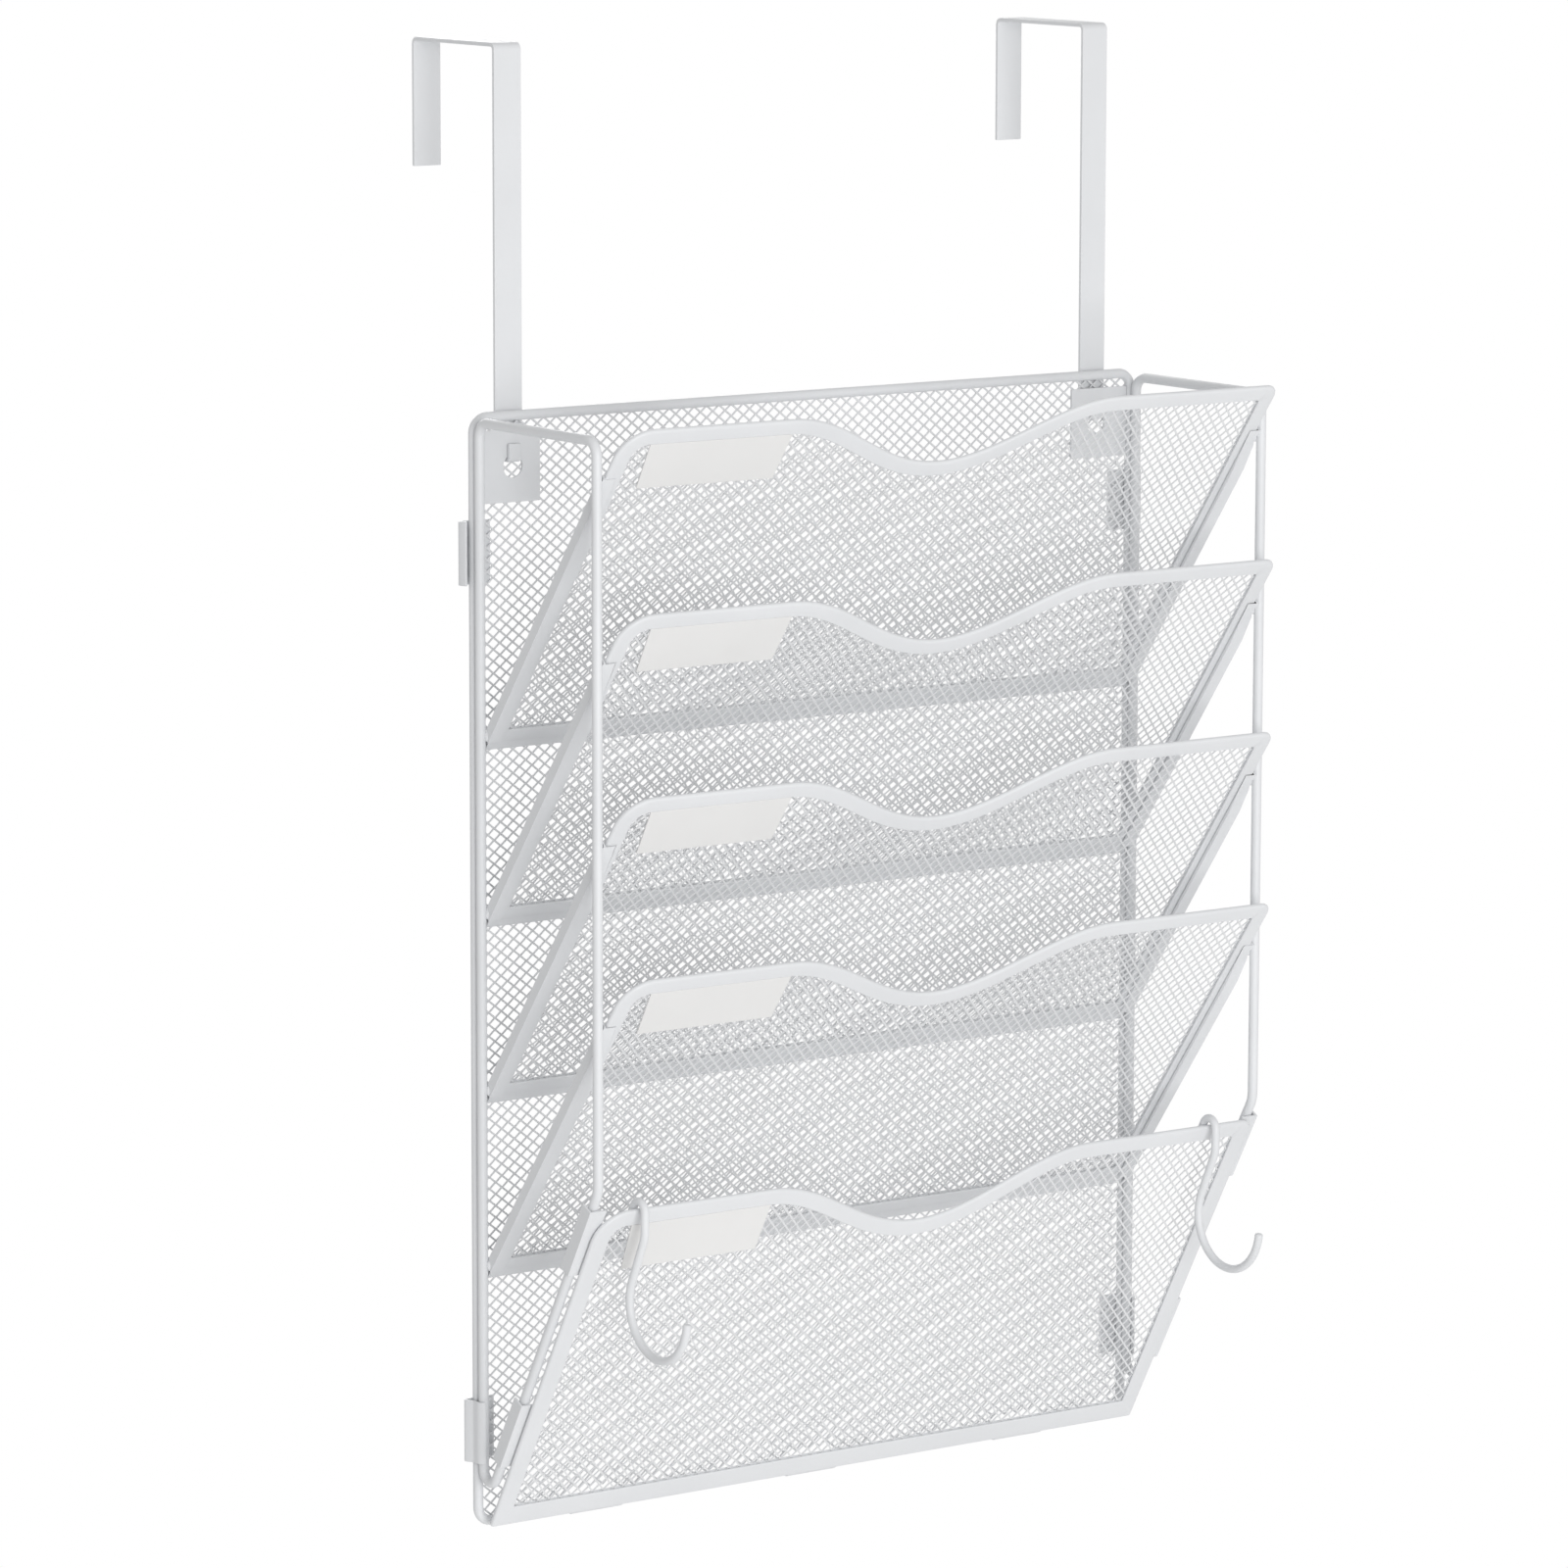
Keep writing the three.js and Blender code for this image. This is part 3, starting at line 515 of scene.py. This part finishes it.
makeWires()
print("stage: wires and rods")


# Hemmed pockets
def wave(x):
    # How far the rim dips here, and its slope
    s = rimSizes
    run = s["leftRun"] if x < s["waveCentre"] else s["rightRun"]
    share = (x - s["waveCentre"]) / run
    if abs(share) >= 1:
        return 0.0, 0.0
    depth = s["waveDepth"] * (1 + math.cos(math.pi * share)) / 2
    return depth, s["waveDepth"] * math.pi * math.sin(math.pi * share) / (2 * run)


def sheetOutline(pocket, side, rim, bottom):
    # The sheet's outline, inset from its own edge; every inset has as many points as the next
    s = rimSizes
    edge, top, foot = pocket["half"] - side, pocket["height"] - rim, pocket["foot"] + bottom
    left, right = (max(s[corner] - side, s["leastRadius"]) for corner in ("leftRadius", "rightRadius"))
    small = max(s["footRadius"] - min(side, bottom), s["leastFootRadius"])
    steps = s["cornerSteps"]
    line = arc((edge - small, foot + small), small, -math.pi / 2, 0, s["footSteps"])
    line += arc((edge - right, top - right), right, 0, math.pi / 2, steps)
    for step in range(s["waveSteps"], -1, -1):
        span = 2 * step / s["waveSteps"] - 1
        x = s["waveCentre"] + (s["leftRun"] if span < 0 else s["rightRun"]) * span
        depth, slope = wave(x)
        inward = rim / math.hypot(1, slope)
        line.append((x + inward * slope, pocket["height"] - depth - inward))
    line += arc((-edge + left, top - left), left, math.pi / 2, math.pi, steps)
    line += arc((-edge + small, foot + small), small, math.pi, 1.5 * math.pi, s["footSteps"])
    return line


def hemMesh(name, pocket):
    # A fold round the outer edge, and two skins that close on the net: rings of the outline, lofted
    s = rimSizes
    thick, inner, groove = s["thickness"], s["lipEdge"], s["lipGroove"]
    half = thick / 2
    profile = []
    for step in range(s["foldSteps"] + 1):
        angle = math.pi * step / s["foldSteps"]
        profile.append((half * (1 - math.sin(angle)), half - half * math.cos(angle), "out"))
    profile += [(-inner, thick, "in"), (0, thick - inner, "in"), (0, s["rearLip"], "in"),
                (-groove, s["netDepth"] + inner, "in"), (-groove, s["netDepth"] - inner, "in"),
                (0, s["frontLip"], "in"), (0, inner, "in"), (-inner, 0, "in")]
    rings, front = [], pocket["back"] - thick
    for inset, depth, edge in profile:
        insets = [inset] * 3
        if edge == "in":
            insets = [pocket[border] + inset for border in ("side", "rim", "bottom")]
        rings.append([(x, front + depth, z) for x, z in sheetOutline(pocket, *insets)])
    count, around = len(rings), len(rings[0])
    points = [p for ring in rings for p in ring]
    faces = []
    for i in range(count):
        low, high = i * around, (i + 1) % count * around
        for j in range(around):
            k = (j + 1) % around
            faces.append((low + j, low + k, high + k, high + j))
    mesh = meshOf(name, points, faces)
    markSharp(mesh, meshLimits["hemAngle"])
    return mesh


def placeOf(pocket, number):
    # From a pocket's own flat frame to its leaning place on its rod or wire
    if number == 5:
        spot = (0, wireSizes["backY"] * mm, wireSizes["bottomZ"] * mm)
    else:
        spot = (0, rodSizes["y"] * mm, rodSizes["z"][number - 1] * mm)
    return Matrix.Translation(spot) @ Matrix.Rotation(pocket["lean"], 4, "X")


def shapeLabel(label, place, rise):
    # Up to the hem, and with its ends slanted as on the real plate
    s, mesh = labelSizes, label.data
    mesh.transform(place.inverted())
    xs, zs = [v.co.x for v in mesh.vertices], [v.co.z for v in mesh.vertices]
    for vertex in mesh.vertices:
        across = (vertex.co.x - min(xs)) / (max(xs) - min(xs))
        up = (vertex.co.z - min(zs)) / (max(zs) - min(zs))
        left = s["leftFoot"] + (s["leftTop"] - s["leftFoot"]) * up
        vertex.co.x -= (left + (s["right"] - left) * across) * mm
        vertex.co.z += rise * mm
    mesh.transform(place)


def makePocket(number):
    pocket = lowerSizes if number == 5 else upperSizes
    place = placeOf(pocket, number)
    parts = [hemMesh(f"hem_{number}", pocket)]
    if number == 5:
        r, wall = pocket["sleeveRadius"], pocket["sleeveWall"]
        hemY = pocket["back"] - rimSizes["thickness"] / 2
        for x in pocket["sleevePlaces"]:
            line = [(hemY, pocket["foot"] + wall)]
            line += arc((0, 0), r, pocket["sleeveStart"], pocket["sleeveEnd"], pocket["sleeveSteps"])
            w = pocket["sleeveWidth"] / 2
            parts.append(strip("sleeve", line, wall, x - w, x + w, pocket["sleeveEdge"]))
    else:
        r, wall = pocket["barrelRadius"], pocket["barrelWall"]
        line = [(-r, pocket["barrelTop"]), (-r, pocket["barrelLow"])]
        line += arc((0, 0), r, math.pi, math.pi + pocket["barrelCurl"], pocket["barrelSteps"])
        parts.append(strip("barrel", line, wall, -pocket["half"], pocket["half"], pocket["barrelEdge"]))
    mesh, node = joined(f"pocketHem_{number}", parts), f"pocket_{number}_frame"
    mesh.transform(place)
    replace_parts(addPiece(f"pocketHem_{number}", mesh, node), node)
    label = softened(f"labelPlate_{number}", f"label_plate_{number}", labelSizes["edge"])
    shapeLabel(label, place, pocket["labelRise"])


for number in range(1, 6):
    makePocket(number)
print("stage: hemmed pockets")


# Expanded metal: one tree lays knots and strands wherever a ray meets the given sheet
def strandUnit(pitchAcross, pitchUp):
    s = netSizes
    a, b = s["knotHalfWidth"], s["knotHalfHeight"]
    across, up, lift = pitchAcross / 2, pitchUp / 2, s["relief"]
    knot = {"right": (a, 0, 0), "top": (0, -lift, b), "left": (-a, 0, 0), "low": (0, lift, -b)}

    def corner(name, x=0, z=0):
        return (knot[name][0] + x, knot[name][1], knot[name][2] + z)

    points = [corner("left"), corner("low"), corner("right"), corner("top"),
              corner("left", across, up), corner("low", across, up),
              corner("right", -across, up), corner("low", -across, up)]
    faces = [(0, 1, 2, 3), (2, 5, 4, 3), (0, 3, 6, 7)]
    mesh = bpy.data.meshes.new("strandUnit")
    mesh.from_pydata([tuple(c * mm for c in p) for p in points], [], faces)
    unit = bpy.data.objects.new("strandUnit", mesh)
    scene.collection.objects.link(unit)
    return unit


def netTree():
    tree = bpy.data.node_groups.new("expandedMetal", "GeometryNodeTree")
    addSocket(tree, "Geometry", "NodeSocketGeometry", "INPUT")
    addSocket(tree, "Strand Unit", "NodeSocketObject", "INPUT")
    addSocket(tree, "Pitch Across", "NodeSocketFloat", "INPUT", 0.0061)
    addSocket(tree, "Pitch Up", "NodeSocketFloat", "INPUT", 0.0048)
    addSocket(tree, "Thickness", "NodeSocketFloat", "INPUT", 0.0005)
    addSocket(tree, "Finish", "NodeSocketMaterial", "INPUT")
    addSocket(tree, "Geometry", "NodeSocketGeometry", "OUTPUT")
    nodes = tree.nodes
    taken, given = nodes.new("NodeGroupInput"), nodes.new("NodeGroupOutput")

    def reckon(operation, a, b):
        node = nodes.new("ShaderNodeMath")
        node.operation = operation
        for socket, value in zip(node.inputs, (a, b)):
            if isinstance(value, (int, float)):
                socket.default_value = value
            else:
                link(tree, value, socket)
        return node.outputs[0]

    box = nodes.new("GeometryNodeBoundBox")
    link(tree, taken.outputs["Geometry"], box.inputs["Geometry"])
    low, high = nodes.new("ShaderNodeSeparateXYZ"), nodes.new("ShaderNodeSeparateXYZ")
    link(tree, box.outputs["Min"], low.inputs["Vector"])
    link(tree, box.outputs["Max"], high.inputs["Vector"])
    sizes, counts, pitches = {}, {}, {"X": taken.outputs["Pitch Across"], "Z": taken.outputs["Pitch Up"]}
    for axis in "XZ":
        span = reckon("SUBTRACT", high.outputs[axis], low.outputs[axis])
        half = reckon("CEIL", reckon("DIVIDE", reckon("MULTIPLY", span, 0.5), pitches[axis]), 0)
        counts[axis] = reckon("ADD", reckon("MULTIPLY", half, 2), 3)
        sizes[axis] = reckon("MULTIPLY", reckon("SUBTRACT", counts[axis], 1), pitches[axis])
    middle = nodes.new("ShaderNodeCombineXYZ")
    for axis in "XZ":
        total = reckon("ADD", high.outputs[axis], low.outputs[axis])
        link(tree, reckon("MULTIPLY", total, 0.5), middle.inputs[axis])
    shifted = nodes.new("ShaderNodeVectorMath")
    shifted.operation = "ADD"
    halfStep = nodes.new("ShaderNodeCombineXYZ")
    for axis in "XZ":
        link(tree, reckon("MULTIPLY", pitches[axis], 0.5), halfStep.inputs[axis])
    link(tree, middle.outputs[0], shifted.inputs[0])
    link(tree, halfStep.outputs[0], shifted.inputs[1])
    both = nodes.new("GeometryNodeJoinGeometry")
    for offset in (middle.outputs[0], shifted.outputs[0]):
        grid = nodes.new("GeometryNodeMeshGrid")
        link(tree, sizes["X"], grid.inputs["Size X"])
        link(tree, sizes["Z"], grid.inputs["Size Y"])
        link(tree, counts["X"], grid.inputs["Vertices X"])
        link(tree, counts["Z"], grid.inputs["Vertices Y"])
        stand = nodes.new("GeometryNodeTransform")
        stand.inputs["Rotation"].default_value = (math.pi / 2, 0, 0)
        link(tree, grid.outputs["Mesh"], stand.inputs["Geometry"])
        link(tree, offset, stand.inputs["Translation"])
        link(tree, stand.outputs["Geometry"], both.inputs["Geometry"])
    spot = nodes.new("GeometryNodeInputPosition")
    start = nodes.new("ShaderNodeVectorMath")
    start.operation = "ADD"
    start.inputs[1].default_value = (0, meshLimits["rayStart"], 0)
    link(tree, spot.outputs[0], start.inputs[0])
    ray = nodes.new("GeometryNodeRaycast")
    ray.inputs["Ray Direction"].default_value = (0, 1, 0)
    ray.inputs["Ray Length"].default_value = meshLimits["rayLength"]
    link(tree, taken.outputs["Geometry"], ray.inputs["Target Geometry"])
    link(tree, start.outputs[0], ray.inputs["Source Position"])
    unit = nodes.new("GeometryNodeObjectInfo")
    link(tree, taken.outputs["Strand Unit"], unit.inputs["Object"])
    place = nodes.new("GeometryNodeInstanceOnPoints")
    link(tree, both.outputs["Geometry"], place.inputs["Points"])
    link(tree, ray.outputs["Is Hit"], place.inputs["Selection"])
    link(tree, unit.outputs["Geometry"], place.inputs["Instance"])
    solid = nodes.new("GeometryNodeRealizeInstances")
    link(tree, place.outputs["Instances"], solid.inputs["Geometry"])
    weld = nodes.new("GeometryNodeMergeByDistance")
    weld.inputs["Distance"].default_value = meshLimits["netMerge"]
    link(tree, solid.outputs["Geometry"], weld.inputs["Geometry"])
    rise = nodes.new("GeometryNodeExtrudeMesh")
    rise.inputs["Individual"].default_value = False
    forward = nodes.new("ShaderNodeCombineXYZ")
    forward.inputs["Y"].default_value = -1
    link(tree, weld.outputs["Geometry"], rise.inputs["Mesh"])
    link(tree, forward.outputs[0], rise.inputs["Offset"])
    link(tree, taken.outputs["Thickness"], rise.inputs["Offset Scale"])
    rear = nodes.new("GeometryNodeFlipFaces")
    link(tree, weld.outputs["Geometry"], rear.inputs["Mesh"])
    closed = nodes.new("GeometryNodeJoinGeometry")
    link(tree, rise.outputs["Mesh"], closed.inputs["Geometry"])
    link(tree, rear.outputs["Mesh"], closed.inputs["Geometry"])
    seam = nodes.new("GeometryNodeMergeByDistance")
    seam.inputs["Distance"].default_value = meshLimits["netMerge"]
    link(tree, closed.outputs["Geometry"], seam.inputs["Geometry"])
    last = nodes.new("GeometryNodeRealizeInstances")
    link(tree, seam.outputs["Geometry"], last.inputs["Geometry"])
    finish = nodes.new("GeometryNodeSetMaterial")
    link(tree, last.outputs["Geometry"], finish.inputs["Geometry"])
    link(tree, taken.outputs["Finish"], finish.inputs["Material"])
    link(tree, finish.outputs["Geometry"], given.inputs["Geometry"])
    return tree


def grown(name, base, tree, values):
    # Runs a tree on a base mesh, and keeps the result as a plain mesh
    carrier = bpy.data.objects.new("carrier", base)
    scene.collection.objects.link(carrier)
    modifier = carrier.modifiers.new("grown", "NODES")
    modifier.node_group = tree
    ids = {i.name: i.identifier for i in tree.interface.items_tree if i.in_out == "INPUT"}
    for key, value in values.items():
        modifier[ids[key]] = value
    bpy.context.view_layer.update()
    graph = bpy.context.evaluated_depsgraph_get()
    result = bpy.data.meshes.new_from_object(carrier.evaluated_get(graph))
    result.name = name
    carrier.modifiers.remove(modifier)
    bpy.data.objects.remove(carrier)
    return result


def sheetMesh(outline, holes=()):
    # A flat sheet in X and Z for the rays to meet, with any holes cut out of it
    work = bmesh.new()
    edges = []
    for loop in (outline, *holes):
        ring = [work.verts.new((x * mm, 0, z * mm)) for x, z in loop]
        edges += [work.edges.new((ring[i - 1], ring[i])) for i in range(len(ring))]
    bmesh.ops.triangle_fill(work, use_beauty=True, use_dissolve=False, edges=edges)
    mesh = bpy.data.meshes.new("sheet")
    work.to_mesh(mesh)
    work.free()
    return mesh


def boxLoop(x0, z0, x1, z1):
    return [(x0, z0), (x1, z0), (x1, z1), (x0, z1)]


def netOn(name, tree, sheet, across, up):
    unit = strandUnit(across, up)
    mesh = grown(name, sheet, tree, {
        "Strand Unit": unit, "Pitch Across": across * mm, "Pitch Up": up * mm,
        "Thickness": netSizes["thickness"] * mm, "Finish": materials["mesh_enamel"],
    })
    bpy.data.objects.remove(unit)
    return mesh


def pocketSheet(pocket):
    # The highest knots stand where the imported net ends; gives the sheet's outline and the pitch that fits
    s = netSizes
    low = pocket["netLow"] + s["knotHalfHeight"]
    rows = round((pocket["netTop"] - s["knotHalfHeight"] - low) / s["pocketUp"] - 0.5)
    up = (pocket["netTop"] - s["knotHalfHeight"] - low) / (rows + 0.5)
    high = low + rows * up
    side = pocket["half"] - pocket["netHalf"] + s["pocketAcross"] / 2
    outline = sheetOutline(pocket, side, pocket["rim"] - s["cover"], pocket["bottom"])
    edge = s["knotHalfHeight"] / 10
    middle = pocket["height"] / 2
    return [(x, min(z, high + edge) if z > middle else low - edge) for x, z in outline], up


def backSheet():
    # Slots for the hooks' tongues and for the sleeves of pocket 5
    w, b = wireSizes, backNetSizes
    half, top = w["halfWidth"] - b["sideInset"], w["topZ"] - b["topInset"]
    bottom, corner = w["bottomZ"] + b["bottomInset"], w["cornerRadius"] - b["cornerInset"]
    corners = [(half, bottom), (half, top), (-half, top), (-half, bottom)]
    holes = []
    for x in (-b["slotAcross"], b["slotAcross"]):
        holes.append(boxLoop(x - b["slotHalf"], b["slotLow"], x + b["slotHalf"], b["slotHigh"]))
    for x in lowerSizes["sleevePlaces"]:
        low, high = bottom + b["sleeveLow"], bottom + b["sleeveHigh"]
        holes.append(boxLoop(x - b["sleeveHalf"], low, x + b["sleeveHalf"], high))
    return sheetMesh(roundedLoop(corners, [corner] * 4, b["cornerSteps"]), holes)


def makeNets():
    tree, s = netTree(), netSizes
    for number in range(1, 6):
        pocket = lowerSizes if number == 5 else upperSizes
        outline, up = pocketSheet(pocket)
        mesh = netOn(f"pocketNet_{number}", tree, sheetMesh(outline), s["pocketAcross"], up)
        depth = pocket["back"] - rimSizes["thickness"] + rimSizes["netDepth"]
        mesh.transform(Matrix.Translation((0, (depth + s["thickness"] / 2) * mm, 0)))
        mesh.transform(placeOf(pocket, number))
        node = f"pocket_{number}_mesh"
        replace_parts(addPiece(f"pocketNet_{number}", mesh, node), node)
    mesh = netOn("backNet", tree, backSheet(), s["backAcross"], s["backUp"])
    mesh.transform(Matrix.Translation((0, backNetSizes["depth"] * mm, 0)))
    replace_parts(addPiece("backNet", mesh, "back_mesh"), "back_mesh")


makeNets()
print("stage: expanded metal")


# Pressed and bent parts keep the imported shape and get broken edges
for label in ("left", "right"):
    softened(f"doorHook_{label}", f"door_hook_{label}", pressedEdges["doorHook"], 3)
    softened(f"keyholePlate_{label}", f"keyhole_plate_{label}", pressedEdges["keyholePlate"])
    for height in ("upper", "lower"):
        softened(f"hingeClip_{height}_{label}", f"hinge_clip_{height}_{label}", pressedEdges["hingeClip"])
        softened(f"bracket_{height}_{label}", f"bracket_{height}_{label}", pressedEdges["bracket"])
    for number in range(1, 5):
        place = placeOf(upperSizes, number)
        pressedStrut(f"pressedStrut_{number}_{label}", f"strut_{number}_{label}", place)
print("stage: pressed parts")


# Weld beads where the struts meet the wires of the side frames
def beadTree():
    tree = bpy.data.node_groups.new("weldBeads", "GeometryNodeTree")
    addSocket(tree, "Geometry", "NodeSocketGeometry", "INPUT")
    addSocket(tree, "Bead Radius", "NodeSocketFloat", "INPUT", 0.001)
    addSocket(tree, "Stretch", "NodeSocketVector", "INPUT", (1, 1, 1.8))
    addSocket(tree, "Ripple", "NodeSocketFloat", "INPUT", 0.0002)
    addSocket(tree, "Ripple Size", "NodeSocketFloat", "INPUT", 900.0)
    addSocket(tree, "Finish", "NodeSocketMaterial", "INPUT")
    addSocket(tree, "Geometry", "NodeSocketGeometry", "OUTPUT")
    nodes = tree.nodes
    taken, given = nodes.new("NodeGroupInput"), nodes.new("NodeGroupOutput")
    ball = nodes.new("GeometryNodeMeshIcoSphere")
    ball.inputs["Subdivisions"].default_value = beadSizes["subdivisions"]
    link(tree, taken.outputs["Bead Radius"], ball.inputs["Radius"])
    laid = nodes.new("GeometryNodeInstanceOnPoints")
    link(tree, taken.outputs["Geometry"], laid.inputs["Points"])
    link(tree, ball.outputs["Mesh"], laid.inputs["Instance"])
    link(tree, taken.outputs["Stretch"], laid.inputs["Scale"])
    solid = nodes.new("GeometryNodeRealizeInstances")
    link(tree, laid.outputs["Instances"], solid.inputs["Geometry"])
    noise = nodes.new("ShaderNodeTexNoise")
    link(tree, nodes.new("GeometryNodeInputPosition").outputs[0], noise.inputs["Vector"])
    link(tree, taken.outputs["Ripple Size"], noise.inputs["Scale"])
    height = nodes.new("ShaderNodeMath")
    height.operation = "MULTIPLY"
    link(tree, noise.outputs["Fac"], height.inputs[0])
    link(tree, taken.outputs["Ripple"], height.inputs[1])
    out = nodes.new("ShaderNodeVectorMath")
    out.operation = "SCALE"
    link(tree, nodes.new("GeometryNodeInputNormal").outputs[0], out.inputs[0])
    link(tree, height.outputs[0], out.inputs["Scale"])
    rippled = nodes.new("GeometryNodeSetPosition")
    link(tree, solid.outputs["Geometry"], rippled.inputs["Geometry"])
    link(tree, out.outputs[0], rippled.inputs["Offset"])
    smooth = nodes.new("GeometryNodeSetShadeSmooth")
    link(tree, rippled.outputs["Geometry"], smooth.inputs["Geometry"])
    last = nodes.new("GeometryNodeRealizeInstances")
    link(tree, smooth.outputs["Geometry"], last.inputs["Geometry"])
    finish = nodes.new("GeometryNodeSetMaterial")
    link(tree, last.outputs["Geometry"], finish.inputs["Geometry"])
    link(tree, taken.outputs["Finish"], finish.inputs["Material"])
    link(tree, finish.outputs["Geometry"], given.inputs["Geometry"])
    return tree


def makeBeads():
    tree, s = beadTree(), beadSizes
    for label, side in (("left", -1), ("right", 1)):
        spots = [placeOf(upperSizes, number) @ (Vector((side * s["out"], s["depth"], up)) * mm) / mm
                 for number in range(1, 5) for up in (s["frontUp"], s["rearUp"])]
        mesh = grown(f"weldBeads_{label}", meshOf("spots", spots, []), tree, {
            "Bead Radius": s["radius"] * mm, "Stretch": (1.0, 1.0, s["stretch"]),
            "Ripple": s["ripple"] * mm, "Ripple Size": s["rippleSize"], "Finish": materials["enamel"],
        })
        addPiece(f"weldBeads_{label}", mesh, f"side_frame_{label}")


makeBeads()
print("stage: weld beads")


# S-hooks
def hookLine():
    # From the tail behind the rim, over the rim, down the neck and round the curl, in Y and Z
    s, lean = hookSizes, lowerSizes["lean"]
    up = Vector((-math.sin(lean), math.cos(lean)))
    out = Vector((-math.cos(lean), -math.sin(lean)))
    depth = rimSizes["thickness"] / 2 - lowerSizes["back"]
    rim = Vector((wireSizes["backY"], wireSizes["bottomZ"])) + up * lowerSizes["height"] + out * depth
    loop = rim - Vector((s["loopForward"], s["loopDrop"]))
    curl = loop - Vector((s["curlForward"], s["curlDrop"]))
    over = arc(loop, s["loopRadius"], lean, math.pi, s["loopSteps"])
    tail = Vector(over[0]) - up * s["tail"]
    neck = loop + Vector((-s["loopRadius"], -s["neckDrop"]))
    toNeck = neck - curl
    tangent = math.atan2(toNeck.y, toNeck.x) % (2 * math.pi) - math.acos(s["curlRadius"] / toNeck.length)
    bottom = arc(curl, s["curlRadius"], tangent, -s["curlEnd"], s["curlSteps"])
    bend = cornerArc(over[-1], neck, bottom[0], s["neckRadius"], s["neckSteps"])
    return [tuple(tail)] + over + bend + bottom


def makeHooks():
    line = hookLine()
    for label, x in hookSizes["places"].items():
        mesh = tube(f"sHook_{label}", line, hookSizes["radius"], hookSizes["sides"], False,
                    lambda y, z, out: (x + out, y, z), hookSizes["ends"])
        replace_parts(addPiece(f"sHook_{label}", mesh, f"s_hook_{label}"), f"s_hook_{label}")


makeHooks()
print("stage: hooks")


# Floor, world and light
def whiteSeen(tree):
    # Mask that is 1 where the camera, a reflection or a clear pane looks
    path = tree.nodes.new("ShaderNodeLightPath")
    total = None
    for name in ("Is Camera Ray", "Is Glossy Ray", "Is Transmission Ray"):
        if total is None:
            total = path.outputs[name]
            continue
        add = tree.nodes.new("ShaderNodeMath")
        add.operation = "ADD"
        add.use_clamp = True
        link(tree, total, add.inputs[0])
        link(tree, path.outputs[name], add.inputs[1])
        total = add.outputs[0]
    return total


def makeWorld():
    world = bpy.data.worlds.new("studio")
    scene.world = world
    world.use_nodes = True
    tree = world.node_tree
    tree.nodes.clear()
    soft, seen = tree.nodes.new("ShaderNodeBackground"), tree.nodes.new("ShaderNodeBackground")
    soft.inputs["Color"].default_value = (1, 1, 1, 1)
    soft.inputs["Strength"].default_value = lightSizes["soft"]
    seen.inputs["Color"].default_value = (1, 1, 1, 1)
    seen.inputs["Strength"].default_value = 1
    mix, out = tree.nodes.new("ShaderNodeMixShader"), tree.nodes.new("ShaderNodeOutputWorld")
    link(tree, whiteSeen(tree), mix.inputs["Fac"])
    link(tree, soft.outputs[0], mix.inputs[1])
    link(tree, seen.outputs[0], mix.inputs[2])
    link(tree, mix.outputs[0], out.inputs["Surface"])


def makeFloor():
    half, height, tone = floorSizes["half"], floorSizes["height"], floorSizes["tone"]
    corners = [(-half, -half, height), (half, -half, height), (half, half, height), (-half, half, height)]
    mesh = bpy.data.meshes.new("floor")
    mesh.from_pydata(corners, [], [(0, 1, 2, 3)])
    floor = bpy.data.objects.new("floor", mesh)
    scene.collection.objects.link(floor)
    material = bpy.data.materials.new("paleFloor")
    material.use_nodes = True
    tree = material.node_tree
    shader = tree.nodes["Principled BSDF"]
    shader.inputs["Base Color"].default_value = (tone, tone, tone, 1)
    shader.inputs["Roughness"].default_value = floorSizes["roughness"]
    glow, mix = tree.nodes.new("ShaderNodeEmission"), tree.nodes.new("ShaderNodeMixShader")
    link(tree, whiteSeen(tree), mix.inputs["Fac"])
    link(tree, shader.outputs[0], mix.inputs[1])
    link(tree, glow.outputs[0], mix.inputs[2])
    link(tree, mix.outputs[0], tree.nodes["Material Output"].inputs["Surface"])
    mesh.materials.append(material)


def makeLamp(name, place, power):
    aim = lightSizes["aim"]
    data = bpy.data.lights.new(name, "AREA")
    data.shape = "RECTANGLE"
    data.size, data.size_y = lightSizes["panel"]
    data.energy = power
    lamp = bpy.data.objects.new(name, data)
    scene.collection.objects.link(lamp)
    lamp.location = place
    lamp.rotation_mode = "QUATERNION"
    lamp.rotation_quaternion = (Vector(aim) - Vector(place)).to_track_quat("-Z", "Y")


makeWorld()
makeFloor()
makeLamp("keySoftbox", (-0.7, -2.9, -0.15), 45)
makeLamp("rearFill", (1.0, 2.8, 0.5), 34)
print("stage: light")

scene.view_settings.view_transform = "Standard"
